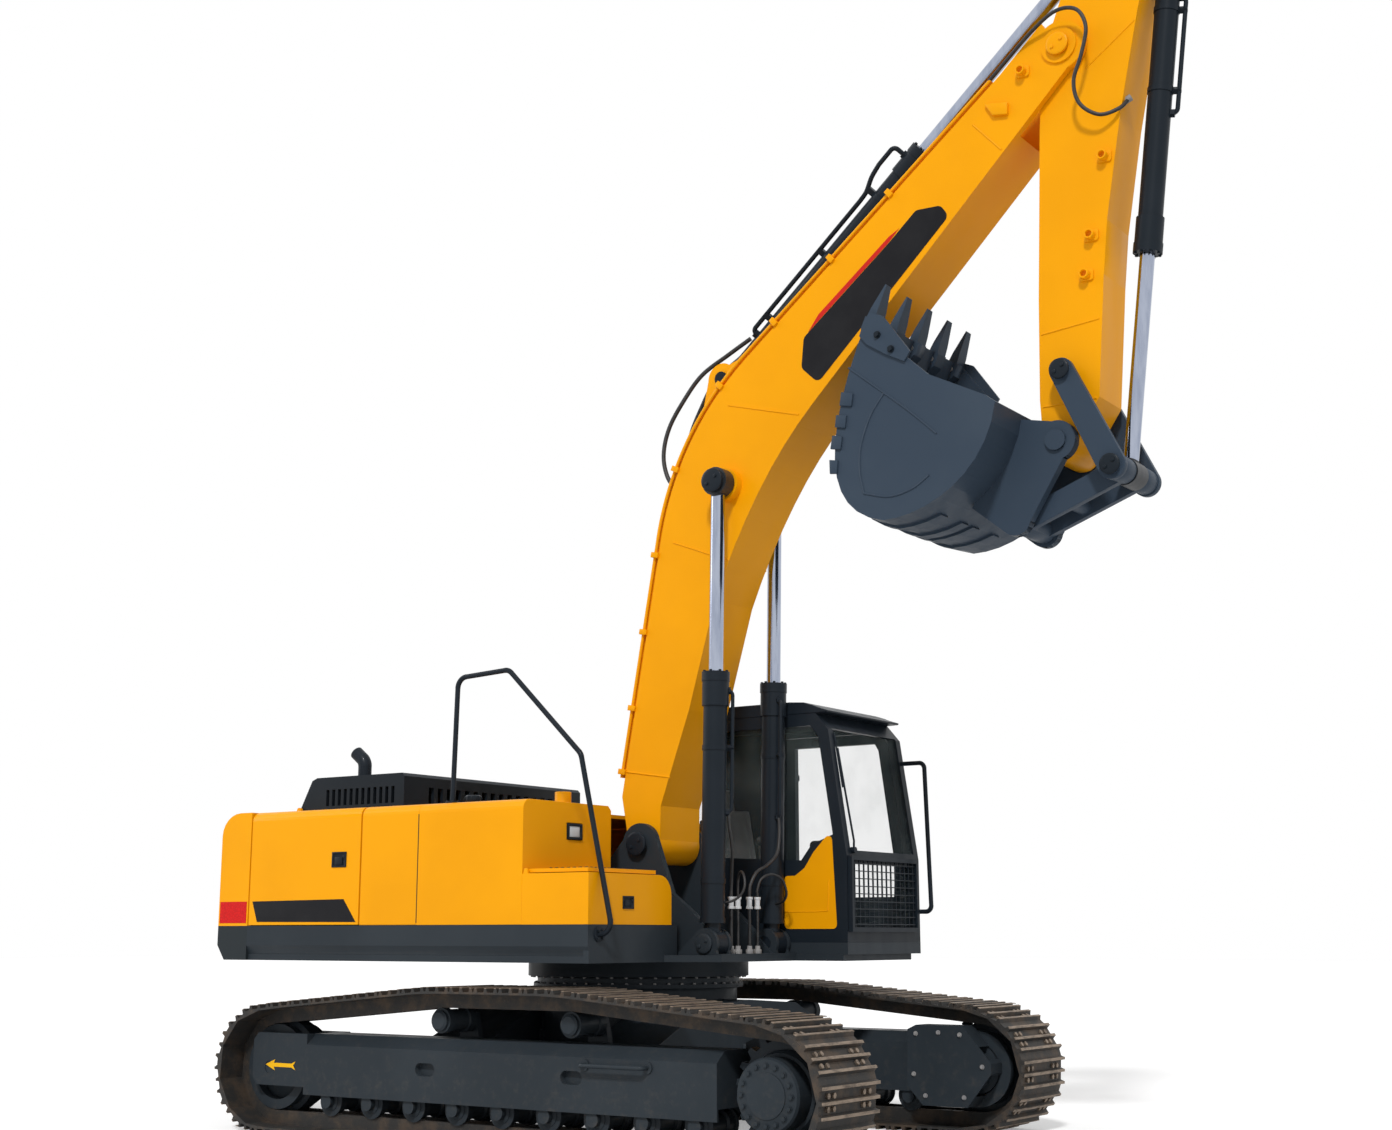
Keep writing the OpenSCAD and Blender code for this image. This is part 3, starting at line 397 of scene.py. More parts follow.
def mirrored(o, name, body):
    # the same piece on the other side of the machine
    hold(o)
    bpy.ops.object.duplicate()
    twin = bpy.context.object
    twin.parent = None
    twin.data.transform(Matrix.Scale(-1, 4, (0, 1, 0)))
    shape(twin, lambda: bpy.ops.mesh.flip_normals())
    twin.name = name
    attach(twin, body)


def pair(o, name, body, finish, edge=0.0):
    # the piece on the left, and its mirror image on the right
    left = settle(o, name + "Left", body, finish, edge)
    mirrored(left, name + "Right", body)


def upward(face):
    return face.normal.z > 0.9


def inset(o, thick, depth, test=upward):
    # a frame inside the edge of the faces that pass the test, what it holds pushed in or out
    shape(o, lambda: bpy.ops.mesh.inset(thickness=thick, depth=depth), test)


def axes(place, along, up):
    # local X along, local Z towards up, at a place in the frame
    x = Vector(along).normalized()
    z = Vector(up).normalized()
    turn = Matrix((x, z.cross(x), z)).transposed().to_4x4()
    return Matrix.Translation(place) @ turn


def block(low, high, drawn=True):
    # box between two corners, in drawing coordinates or as they are
    clearAll()
    a, b = (at(*low), at(*high)) if drawn else (Vector(low), Vector(high))
    bpy.ops.mesh.primitive_cube_add(size=1, location=(a + b) / 2)
    o = bpy.context.object
    o.scale = b - a
    fixPlace()
    return o


def rod(start, end, radius, sides=20, ends="NGON"):
    clearAll()
    a, b = Vector(start), Vector(end)
    bpy.ops.mesh.primitive_cylinder_add(vertices=sides, radius=radius, depth=(b - a).length,
                                        end_fill_type=ends, location=(a + b) / 2)
    o = bpy.context.object
    o.rotation_euler = (b - a).to_track_quat("Z", "Y").to_euler()
    fixPlace()
    return o


def band(start, end, radius, thick):
    # ring of strip steel round a barrel, open in the middle
    o = rod(start, end, radius, 40, "NOTHING")
    wall = o.modifiers.new("wall", "SOLIDIFY")
    wall.thickness = thick
    wall.offset = -1
    bpy.ops.object.modifier_apply(modifier="wall")
    return o


def plate(corners, pull):
    # flat plate from its corner points, pulled to its thickness
    clearAll()
    bpy.ops.mesh.primitive_circle_add(vertices=len(corners), fill_type="NGON", location=(0, 0, 0))
    o = bpy.context.object
    for v, c in zip(o.data.vertices, corners):
        v.co = c

    def thicken():
        bpy.ops.mesh.extrude_region_move(TRANSFORM_OT_translate={"value": pull})
        bpy.ops.mesh.select_all(action="SELECT")
        bpy.ops.mesh.normals_make_consistent(inside=False)

    shape(o, thicken)
    return o


def sidePlate(points, y, thick):
    # plate in the side plane, points given forward and up
    return plate([at(x, y, z) for x, z in points], (0, thick, 0))


def rounded(a, c, b, radius, count=6):
    # points of the arc that rounds the corner at c between a and b
    a, c, b = Vector(a), Vector(c), Vector(b)
    u, v = (a - c).normalized(), (b - c).normalized()
    half = u.angle(v) / 2
    middle = c + (u + v).normalized() * radius / math.sin(half)
    reach = radius / math.tan(half)
    p, q = c + u * reach - middle, c + v * reach - middle
    turn = p.angle(q)
    out = []
    for i in range(count + 1):
        t = i / count
        out.append(middle + (p * math.sin((1 - t) * turn) + q * math.sin(t * turn)) / math.sin(turn))
    return out


def roundedPlate(points, radius, count=4):
    # the outline with every corner rounded
    n = len(points)
    out = []
    for i in range(n):
        out += rounded(points[i - 1], points[i], points[(i + 1) % n], radius, count)
    return [tuple(p) for p in out]


def staple(foot, reach, low, high, bend):
    # flat line of a bar that leaves a face at low, follows it at a reach and returns at high
    a, b, c, d = (Vector(p) for p in ((foot, low), (reach, low), (reach, high), (foot, high)))
    return [a] + rounded(a, b, c, bend) + rounded(b, c, d, bend) + [d]


def curveLine(points, steps=8):
    # smooth line through the points
    pts = [Vector(p) for p in points]
    pts = [pts[0] * 2 - pts[1]] + pts + [pts[-1] * 2 - pts[-2]]
    line = []
    for i in range(1, len(pts) - 2):
        a, b, c, d = pts[i - 1:i + 3]
        for k in range(steps):
            t = k / steps
            line.append(0.5 * (2 * b + (c - a) * t + (2 * a - 5 * b + 4 * c - d) * t * t
                               + (3 * b - a - 3 * c + d) * t ** 3))
    line.append(pts[-2])
    return line


def tube(line, radius, rings=3):
    # a bent round tube along a line
    clearAll()
    bpy.ops.curve.primitive_nurbs_path_add(location=(0, 0, 0))
    o = bpy.context.object
    o.data.splines.clear()
    spline = o.data.splines.new("POLY")
    spline.points.add(len(line) - 1)
    for p, q in zip(spline.points, line):
        p.co = (*q, 1)
    o.data.dimensions = "3D"
    o.data.bevel_depth = radius
    o.data.bevel_resolution = rings
    o.data.use_fill_caps = True
    bpy.ops.object.convert(target="MESH")
    return bpy.context.object


def hose(name, points, diameter, start, end):
    # a rubber hose from fitting to fitting, a bent tube along the given points
    line = curveLine([at(*p) for p in points])
    o = tube(line, diameter / 2)
    o.name = name
    bpy.ops.object.shade_smooth()
    paint(o, rubber)
    at(*start)
    at(*end)
    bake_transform(o)
    sum((b - a).length for a, b in zip(line, line[1:]))


def boltSet(places, direction, size):
    # one hexagon head on its washer, copied to every place
    washer = rod((0, 0, 0), (0, 0, size * 0.25), size * 0.95, 14)
    head = rod((0, 0, size * 0.2), (0, 0, size * 0.85), size * 0.7, 6)
    turn = Vector(direction).to_track_quat("Z", "Y").to_matrix().to_4x4()
    return copies(joined([washer, head]), [Matrix.Translation(p) @ turn for p in places])


def ringOf(middle, radius, count, plane="XZ", first=0.0):
    # points round a circle in the side plane or the ground plane
    out = []
    for i in range(count):
        a = math.radians(first) + 2 * math.pi * i / count
        u, v = radius * math.cos(a), radius * math.sin(a)
        out.append(Vector(middle) + (Vector((u, 0, v)) if plane == "XZ" else Vector((u, v, 0))))
    return out


# worn grouser tips and shoe bolts, along the same loop as the shoes
shoeWear = {
    "base": 3.808, "endRadius": 0.396, "pinHeight": 0.083, "rise": 0.129, "carrier": 0.5, "shoes": 51,
    "width": 0.600, "middle": 1.2115, "tipOut": 0.0792, "tipThick": 0.0042, "tipHalf": 0.0085,
    "grouserPitch": 0.0755, "over": 0.001, "boltOut": 0.0565, "boltAcross": (-0.215, -0.155, 0.155, 0.215),
    "boltAlong": (-0.034, 0.034), "boltRadius": 0.016, "boltHeight": 0.013,
}


def trackPoint(s):
    # point at a length along the pin line, or the whole length for None
    g = shoeWear
    half, middle, side = g["base"] / 2, g["endRadius"], g["carrier"]
    r = middle - g["pinHeight"]
    top = middle + r + g["rise"]
    dx, dz = half - side, top - middle
    reach = math.hypot(dx, dz)
    leave = math.atan2(dz, dx) + math.acos(r / reach)
    climb = math.sqrt(reach * reach - r * r)
    arc = r * (leave + math.pi / 2)

    def ring(x, a):
        return Vector((x + r * math.cos(a), middle + r * math.sin(a)))

    legs = (
        (g["base"], lambda d: Vector((d - half, g["pinHeight"]))),
        (arc, lambda d: ring(half, d / r - math.pi / 2)),
        (climb, lambda d: ring(half, math.pi - leave).lerp(Vector((side, top)), d / climb)),
        (2 * side, lambda d: Vector((side - d, top))),
        (climb, lambda d: Vector((-side, top)).lerp(ring(-half, leave), d / climb)),
        (arc, lambda d: ring(-half, leave + d / r)),
    )
    if s is None:
        return sum(length for length, place in legs)
    for length, place in legs:
        if s < length:
            return place(s)
        s -= length


def wornShoes():
    g = shoeWear
    one = []
    for along in (-g["grouserPitch"], 0, g["grouserPitch"]):
        low = (along - g["tipHalf"], -g["width"] / 2 - g["over"], g["tipOut"])
        high = (along + g["tipHalf"], g["width"] / 2 + g["over"], g["tipOut"] + g["tipThick"])
        one.append(block(low, high, drawn=False))
    for along in g["boltAlong"]:
        for across in g["boltAcross"]:
            foot = Vector((along, across, g["boltOut"]))
            one.append(rod(foot, foot + Vector((0, 0, g["boltHeight"])), g["boltRadius"], 6))
    step = trackPoint(None) / g["shoes"]
    places = []
    for i in range(g["shoes"]):
        a, b = trackPoint(i * step), trackPoint(((i + 1) % g["shoes"]) * step)
        t, m = (b - a).normalized(), (a + b) / 2
        places.append(axes(at(m.x, g["middle"], m.y), (t.x, 0, t.y), (t.y, 0, -t.x)))
    pair(copies(joined(one), places), "shoeWear", "undercarriage", grouserTip)


wornShoes()
print("track shoes worn")


# undercarriage: drive bolts, guard bolts, ring bolts, steps and the direction arrow
driveCover = {"middle": (1.904, 1.4475, 0.396), "ring": 0.155, "count": 16, "bolt": 0.017}
g = driveCover
places = ringOf(at(*g["middle"]), g["ring"], g["count"])
pair(boltSet(places, (0, 1, 0), g["bolt"]), "driveBolts", "undercarriage", slatePaint)

guardBolts = {"face": 0.8645, "bolt": 0.016,
              "places": ((1.56, 0.61), (1.72, 0.62), (1.87, 0.61), (2.02, 0.42), (1.89, 0.23), (1.62, 0.23),
                         (1.54, 0.36))}
places = [at(x, guardBolts["face"], z) for x, z in guardBolts["places"]]
pair(boltSet(places, (0, -1, 0), guardBolts["bolt"]), "guardBolts", "undercarriage", zincSteel)

slewBolts = {
    "slewBoltsLower": {"body": "undercarriage", "height": 0.9242, "ring": 0.6675, "up": 1, "count": 48, "bolt": 0.012},
    "slewBoltsUpper": {"body": "upper", "height": 0.970, "ring": 0.692, "up": -1, "count": 48, "bolt": 0.012},
}
for name, g in slewBolts.items():
    places = ringOf(at(0, 0, g["height"]), g["ring"], g["count"], "XY")
    settle(boltSet(places, (0, 0, g["up"]), g["bolt"]), name, g["body"], zincSteel)

frameStep = {"from": 0.66, "to": 1.10, "height": 0.505, "face": 1.3990, "reach": 1.462, "radius": 0.013, "bend": 0.03,
             "foot": 0.032, "footThick": 0.012}


def frameSteps():
    # a bar bent into the side of the track frame
    g = frameStep
    line = [at(p.y, p.x, g["height"]) for p in staple(g["face"], g["reach"], g["from"], g["to"], g["bend"])]
    parts = [tube(line, g["radius"])]
    for x in (g["from"], g["to"]):
        foot = at(x, g["face"], g["height"])
        parts.append(rod(foot, foot + Vector((0, g["footThick"], 0)), g["foot"], 24))
    pair(parts, "frameStep", "undercarriage", slatePaint)


frameSteps()

arrow = {"tip": -1.935, "tail": -1.665, "middle": 0.412, "half": 0.034, "head": 0.085, "shaft": 0.012, "notch": 0.035,
         "face": 1.4015, "thick": 0.0015}


def directionArrow():
    # plain arrow towards the idler, with a notched tail
    g = arrow
    neck, tail, z = g["tip"] + g["head"], g["tail"], g["middle"]
    upper = [(neck, g["half"]), (neck - 0.012, g["shaft"]), (tail - g["notch"], g["shaft"]), (tail, g["half"] * 0.8)]
    points = [(g["tip"], z)] + [(x, z + h) for x, h in upper] + [(tail - g["notch"] * 0.6, z)]
    points += [(x, z - h) for x, h in reversed(upper)]
    pair(sidePlate(points, g["face"], g["thick"]), "arrow", "undercarriage", yellowDecal)


directionArrow()
print("undercarriage dressed")


# plain colour panels on the sides
panels = {
    "darkPanel": {"body": "pump_door", "finish": blackDecal, "face": -1.35,
                  "points": ((-2.186, 1.443), (-1.345, 1.45), (-1.232, 1.306), (-2.135, 1.31))},
    "reflectorRight": {"body": "upper", "finish": red, "face": -1.35,
                       "points": ((-2.497, 1.303), (-2.497, 1.443), (-2.24, 1.443), (-2.24, 1.303))},
}
for name, panel in panels.items():
    settle(sidePlate(panel["points"], panel["face"], -0.0018), name, panel["body"], panel["finish"])
mirrored(bpy.data.objects["reflectorRight"], "reflectorLeft", "upper")

sideSeam = {"x": -0.714, "face": 1.350, "low": 1.298, "high": 1.965, "wide": 0.005, "thick": 0.0012}
g = sideSeam
o = block((g["x"] - g["wide"] / 2, -g["face"] - g["thick"], g["low"]),
          (g["x"] + g["wide"] / 2, -g["face"] + 0.004, g["high"]))
settle(o, "sideSeam", "upper", blackPaint)
boomPanel = {"face": 0.22, "thick": 0.0018, "corner": 0.045,
             "points": ((1.547, 4.657), (1.425, 4.775), (1.445, 4.974), (2.075, 5.476), (2.270, 5.648), (2.440, 5.640),
                        (2.495, 5.560)),
             "stripe": ((1.478, 5.004), (1.556, 5.108), (2.075, 5.516), (2.150, 5.556), (2.075, 5.480))}
g = boomPanel
outline = roundedPlate(g["points"], g["corner"])
pair(sidePlate(outline, g["face"], g["thick"]), "boomPanel", "boom", blackDecal)
pair(sidePlate(g["stripe"], g["face"], g["thick"]), "boomStripe", "boom", redDecal)


def sunkBox(width, height, back, front, rim, slope, sink):
    # box whose front is sunk inside a rim
    o = block((-width / 2, -height / 2, back), (width / 2, height / 2, front), drawn=False)
    inset(o, rim, 0)
    inset(o, slope, -sink, lambda f: upward(f) and f.area > width * height * 0.3)
    return o


def onFace(middle, out):
    # local Z along out and local Y up
    return axes(middle, Vector((0, 0, 1)).cross(Vector(out)), out)


def latch(name, body, middle, width, height, out):
    # bezel with a sunk paddle, on an upright face that looks along out
    o = sunkBox(width, height, -0.004, 0.006, 0.010, 0.002, 0.008)
    paddle = block((-width * 0.3, -height * 0.34, -0.002), (width * 0.22, height * 0.16, 0.004), drawn=False)
    lock = rod((width * 0.33, height * 0.18, -0.002), (width * 0.33, height * 0.18, 0.005), height * 0.11, 18)
    whole = joined([o, paddle, lock])
    whole.matrix_world = onFace(middle, out)
    settle(whole, name, body, blackPaint, 0.0015)


latch("pumpLatch", "pump_door", at(-1.395, -1.350, 1.70), 0.128, 0.098, (0, -1, 0))
latch("leftLatch", "left_door", at(-0.565, 1.350, 1.70), 0.128, 0.098, (0, 1, 0))
latch("boxLatch", "upper", at(0.630, -0.965, 1.415), 0.108, 0.076, (1, 0, 0))


def workLamp(name, body, middle, width, height, out):
    # black housing sunk in a panel, with a pale lens
    o = sunkBox(width, height, -0.016, 0.010, 0.012, 0.004, 0.012)
    o.matrix_world = onFace(middle, out)
    settle(o, name, body, blackPaint, 0.002)
    lens = block((-width * 0.36, -height * 0.34, -0.010), (width * 0.36, height * 0.34, 0.002), drawn=False)
    inset(lens, height * 0.12, 0.004)
    lens.matrix_world = onFace(middle, out)
    settle(lens, name + "Lens", body, clampWhite, 0.002)


workLamp("tankLamp", "upper", at(0.130, -0.855, 1.8525), 0.142, 0.098, (1, 0, 0))
workLamp("tailLampRight", "upper", at(-2.844, -0.55, 1.62), 0.14, 0.07, (-1, 0, 0))
workLamp("tailLampLeft", "upper", at(-2.844, 0.55, 1.62), 0.14, 0.07, (-1, 0, 0))
print("panels and latches set")


# weld beads on the arm, both sides
weldBeads = {
    "boom": {"face": 0.22, "radius": 0.0055,
             "lines": (((0.425, 3.757), (0.865, 3.587)), ((0.862, 4.622), (1.400, 4.471)),
                       ((0.050, 2.271), (0.405, 2.218)), ((2.675, 6.113), (2.860, 5.903)))},
    "stick": {"face": 0.165, "radius": 0.0055,
              "lines": (((3.397, 6.302), (3.715, 6.525)), ((3.052, 4.705), (3.415, 4.737)),
                        ((3.045, 4.262), (3.380, 4.262)))},
    "bucket": {"face": 0.595, "radius": 0.0065,
               "lines": (((2.225, 4.385), (2.127, 4.252), (2.059, 4.074), (2.051, 3.918), (2.074, 3.790)),
                         ((2.074, 3.790), (2.245, 3.748), (2.398, 3.776), (2.508, 3.840)),
                         ((1.985, 4.580), (2.208, 4.396), (2.393, 4.240), (2.564, 4.081)))},
}
for body, bead in weldBeads.items():
    parts = []
    for points in bead["lines"]:
        parts.append(tube(curveLine([at(x, bead["face"], z) for x, z in points]), bead["radius"], 2))
    finish = bucketPaint if body == "bucket" else yellowPaint
    pair(parts, body + "Beads", body, finish)

# clamps that hold the steel lines on the boom's back
boomBack = {"knee": ((0.020, 2.110), (0.450, 4.482), (2.868, 6.388)), "bend": 1.85}
pipeClamps = {"along": (0.16, 0.58, 1.085, 1.60, 2.18, 2.80, 3.35, 3.90, 4.45), "across": 0.1965, "width": 0.082,
              "length": 0.036, "height": 0.052, "sunk": 0.004, "bolt": 0.011, "boltHeight": 0.012}


def alongBack(s):
    # point on the boom's back edge, with the edge's direction and outward normal
    knee = boomBack["knee"]
    line = [Vector(knee[0])] + rounded(*knee, boomBack["bend"], 24) + [Vector(knee[2])]
    for p, q in zip(line, line[1:]):
        d = (q - p).length
        if s <= d or q == line[-1]:
            t = (q - p).normalized()
            return p + t * s, t, Vector((-t.y, t.x))
        s -= d


def clampSet():
    g = pipeClamps
    a, b, top = g["length"] / 2, g["width"] / 2, g["height"]
    foot = block((-a, -b, -g["sunk"]), (a, b, top), drawn=False)
    inset(foot, 0.006, 0.003)
    bolt = rod((0, 0, top), (0, 0, top + g["boltHeight"]), g["bolt"], 6)
    places = []
    for s in g["along"]:
        p, t, n = alongBack(s)
        places.append(axes(at(p.x, g["across"], p.y), (t.x, 0, t.y), (n.x, 0, n.y)))
    pair(copies(joined([foot, bolt]), places), "pipeClamps", "boom", yellowPaint, 0.002)


clampSet()

# lugs on the boom's head and the stick's side
lugs = {"headBlock": ((2.767, 6.217), (2.920, 6.188), (2.917, 6.110), (2.819, 6.126)), "headFace": -0.22,
        "headThick": 0.03, "headEye": (3.019, 6.364), "stickFace": -0.165, "sunk": 0.002, "foot": (0.045, 0.035, 0.014),
        "corner": 0.015, "sleeve": 0.030, "reach": 0.055,
        "stick": ((3.492, 5.718), (3.391, 5.248), (3.349, 5.012))}
o = sidePlate(lugs["headBlock"], lugs["headFace"] + lugs["sunk"], -lugs["headThick"])
settle(o, "headBlock", "boom", yellowPaint, 0.006)


def eyeLug(name, body, x, z, face):
    # short sleeve on a foot plate
    a, b, thick = lugs["foot"]
    outline = roundedPlate(((x - a, z - b), (x + a, z - b), (x + a, z + b), (x - a, z + b)), lugs["corner"])
    foot = sidePlate(outline, face + lugs["sunk"], -thick)
    sleeve = rod(at(x, face, z), at(x, face - lugs["reach"], z), lugs["sleeve"], 24)
    inset(sleeve, 0.010, 0, lambda f: f.normal.y < -0.9)
    inset(sleeve, 0.0005, -0.030, lambda f: f.normal.y < -0.9 and len(f.vertices) > 8)
    settle([foot, sleeve], name, body, yellowPaint, 0.002)


eyeLug("headEye", "boom", *lugs["headEye"], lugs["headFace"])
for i, (x, z) in enumerate(lugs["stick"]):
    eyeLug("stickLug%d" % (i + 1), "stick", x, z, lugs["stickFace"])

# bolted keeper plates on the pins
pinKeepers = {
    "footKeeper": {"body": "boom", "pin": (0.204, 1.798), "face": 0.310, "radius": 0.075, "finish": blackPaint},
    "tipKeeper": {"body": "stick", "pin": (3.260, 6.470), "face": 0.250, "radius": 0.070, "finish": yellowPaint},
    "liftKeeper": {"body": "boom_rods", "pin": (0.863, 4.079), "face": 0.410, "radius": 0.078, "finish": blackPaint},
    "liftFootKeeper": {"body": "boom_barrels", "pin": (0.810, 1.174), "face": 0.428, "radius": 0.060,
                       "finish": slatePaint},
    "guideKeeper": {"body": "bucket_links", "pin": (3.211, 4.434), "face": 0.300, "radius": 0.060,
                    "finish": blackPaint},
    "curlKeeper": {"body": "bucket_links", "pin": (3.494, 3.827), "face": 0.302, "radius": 0.060, "finish": blackPaint},
}
for name, keeper in pinKeepers.items():
    x, z = keeper["pin"]
    disc = rod(at(x, keeper["face"] - 0.004, z), at(x, keeper["face"] + 0.012, z), keeper["radius"], 36)
    inset(disc, keeper["radius"] * 0.25, 0.004, lambda f: f.normal.y > 0.9)
    parts = [disc]
    for p in ringOf(at(x, keeper["face"] + 0.012, z), keeper["radius"] * 0.5, 2, "XZ", 35):
        parts.append(rod(p, p + Vector((0, 0.012, 0)), 0.012, 6))
    pair(parts, name, keeper["body"], keeper["finish"], 0.002)
print("arm dressed")

# cylinders: steel line, bands, ports and gland bolts, by pin, eye and barrel size
cylinders = {
    "liftTrim": {"body": "boom_barrels", "from": (0.810, 1.174), "to": (0.863, 4.079), "across": 0.34, "radius": 0.075,
                 "length": 1.677, "line": (0.80, 1.56), "side": (0.85, -0.53), "bands": (0.14, 0.38, 1.20),
                 "pipe": 0.012},
    "stickTrim": {"body": "stick_barrel", "from": (0.750, 4.845), "to": (3.450, 7.186), "across": 0.0, "radius": 0.080,
                  "length": 1.957, "line": (0.36, 1.86), "side": (-0.80, -0.60), "bands": (0.50, 1.05, 1.55),
                  "pipe": 0.016, "loop": (1.46, 0.055)},
    "curlTrim": {"body": "bucket_barrel", "from": (3.900, 6.950), "to": (3.494, 3.827), "across": 0.0, "radius": 0.072,
                 "length": 1.834, "line": (0.26, 0.98), "side": (-0.97, 0.25), "bands": (0.34, 0.84), "pipe": 0.014},
}


def cylinderTrim(name, g):
    foot, head = at(g["from"][0], g["across"], g["from"][1]), at(g["to"][0], g["across"], g["to"][1])
    run = (head - foot).normalized()
    out = Vector((run.z, 0, -run.x)) * g["side"][0] + Vector((0, 1, 0)) * g["side"][1]
    out.normalize()
    r, p = g["radius"], g["pipe"]

    def spot(d, reach):
        return foot + run * d + out * reach

    low, high = g["line"]
    port, bend = 0.022, 0.0315
    away = r + port + p
    line = [spot(low, r - 0.01)] + [spot(*q) for q in rounded((low, r), (low, away), (high, away), bend)]
    rise = 0.0
    if "loop" in g:
        # the line bows out in a loop before the gland
        start, rise = g["loop"]
        line += [spot(start + d, away + rise * t) for d, t in ((0, 0), (0.07, 0.12), (0.16, 0.72), (0.25, 1))]
        line = line[:-4] + curveLine(line[-4:], 4)
    line += [spot(*q) for q in rounded((low, away + rise), (high, away + rise), (high, r), bend)]
    line.append(spot(high, r - 0.01))
    parts = [tube(line, p)]
    for d in (low, high):
        parts.append(rod(spot(d, r * 0.9), spot(d, r + port), p * 1.9, 6))
    for d in g["bands"]:
        parts.append(band(spot(d - 0.016, 0), spot(d + 0.016, 0), r + 0.005, 0.012))
        if low < d < high:
            parts.append(rod(spot(d, r - 0.01), spot(d, away + p * 0.9), p * 1.7, 4))
    side = run.cross(out)
    for i in range(8):
        a = math.pi * (i + 0.5) / 4
        seat = spot(g["length"] - 0.004, 0) + (out * math.cos(a) + side * math.sin(a)) * (r + 0.001)
        parts.append(rod(seat, seat + run * 0.014, 0.010, 6))
    return settle(parts, name + "Left", g["body"], blackPaint)


for name, g in cylinders.items():
    made = cylinderTrim(name, g)
    if g["across"]:
        mirrored(made, name + "Right", g["body"])
print("cylinders dressed")

# hoses: four from the deck's fittings to the boom cylinders, two over the knee, one round the boom's tip
deckFittings = {"places": ((0.845, -0.180), (0.862, -0.130), (0.882, -0.030), (0.882, 0.063)), "top": 1.46,
                "white": 1.385, "deck": 1.104, "collar": 0.016}


def fittingSet():
    # white sleeves on the hoses and their nuts on the deck
    g = deckFittings
    sleeves, nuts = [], []
    for x, y in g["places"]:
        sleeves.append(rod(at(x, y, g["white"]), at(x, y, g["top"]), 0.0165, 24))
        for z in (g["white"], g["top"] - g["collar"]):
            sleeves.append(rod(at(x, y, z), at(x, y, z + g["collar"]), 0.0215, 6))
        for height, radius, sides in ((0.034, 0.024, 6), (0.055, 0.016, 20)):
            nuts.append(rod(at(x, y, g["deck"]), at(x, y, g["deck"] + height), radius, sides))
    settle(nuts, "deckNuts", "upper", zincSteel, 0.0012)
    settle(sleeves, "deckSleeves", "upper", clampWhite, 0.0012)


fittingSet()

liftHoses = {
    "liftHoseA": {"start": (0.905, -0.285, 1.90), "end": (0.850, -0.185, 1.52), "across": 0.020,
                  "points": ((0.901, -0.292, 1.985), (0.905, -0.285, 1.880), (0.895, -0.245, 1.760),
                             (0.865, -0.200, 1.640), (0.848, -0.182, 1.540)), "foot": (0.845, -0.180, 1.108)},
    "liftHoseB": {"start": (0.930, -0.275, 1.47), "end": (0.872, -0.135, 1.55), "across": 0.016,
                  "points": ((0.872, -0.296, 1.420), (0.930, -0.277, 1.435), (0.972, -0.255, 1.475),
                             (0.985, -0.240, 1.530), (0.967, -0.224, 1.588), (0.9235, -0.185, 1.612),
                             (0.880, -0.146, 1.588), (0.862, -0.130, 1.530)), "foot": (0.862, -0.130, 1.108)},
    "liftHoseC": {"start": (0.905, 0.285, 1.90), "end": (0.885, -0.020, 1.56), "across": 0.020,
                  "points": ((0.901, 0.292, 1.985), (0.915, 0.278, 1.865), (0.930, 0.225, 1.740),
                             (0.922, 0.125, 1.665), (0.900, 0.030, 1.615), (0.885, -0.020, 1.535)),
                  "foot": (0.882, -0.030, 1.115)},
    "liftHoseD": {"start": (0.930, 0.275, 1.47), "end": (0.890, 0.075, 1.55), "across": 0.016,
                  "points": ((0.872, 0.296, 1.420), (0.930, 0.277, 1.430), (0.972, 0.258, 1.460),
                             (0.986, 0.240, 1.505), (0.970, 0.214, 1.575), (0.9335, 0.1515, 1.604),
                             (0.897, 0.089, 1.575), (0.882, 0.063, 1.505)), "foot": (0.882, 0.063, 1.115)},
}
for name, g in liftHoses.items():
    x, y, z = g["foot"]
    points = [*g["points"], (x, y, 1.455), (x, y, 1.280), (x, y, z)]
    hose(name, points, g["across"], g["start"], g["end"])

# the two hoses over the knee mirror each other
kneeHose = {"start": (0.40, 0.09, 4.72), "end": (0.92, 0.05, 5.09), "across": 0.030,
            "points": ((0.400, 0.140, 4.124), (0.318, 0.140, 4.235), (0.285, 0.138, 4.390), (0.320, 0.125, 4.570),
                       (0.425, 0.105, 4.750), (0.560, 0.080, 4.915), (0.760, 0.062, 5.025), (0.930, 0.050, 5.110)),
            "seat": 0.026}
g = kneeHose
parts = []
for name, side in (("kneeHoseA", -1), ("kneeHoseB", 1)):
    start, end, *points = [(x, y * side, z) for x, y, z in (g["start"], g["end"], *g["points"])]
    hose(name, points, g["across"], start, end)
    x, y, z = points[0]
    parts.append(rod(at(x + 0.05, y, z - 0.05), at(x - 0.028, y, z + 0.028), g["seat"], 6))
tipHose = {"start": (3.10, -0.26, 6.59), "end": (3.50, -0.24, 5.98), "across": 0.024,
           "points": ((2.790, -0.209, 6.375), (2.930, -0.225, 6.480), (3.110, -0.265, 6.590), (3.280, -0.300, 6.655),
                      (3.415, -0.310, 6.620), (3.470, -0.310, 6.490), (3.430, -0.302, 6.330), (3.372, -0.292, 6.180),
                      (3.395, -0.272, 6.040), (3.500, -0.240, 5.955), (3.605, -0.190, 5.985), (3.635, -0.110, 6.065)),
           "seatFrom": (3.567, -0.112, 6.040), "seatTo": (3.653, -0.112, 6.072), "seat": 0.024}
g = tipHose
hose("tipHose", g["points"], g["across"], g["start"], g["end"])
settle(parts, "kneeSeats", "boom", blackPaint, 0.002)
o = rod(at(*g["seatFrom"]), at(*g["seatTo"]), g["seat"], 6)
settle(o, "tipSeat", "stick", zincSteel, 0.002)
print("hoses laid")


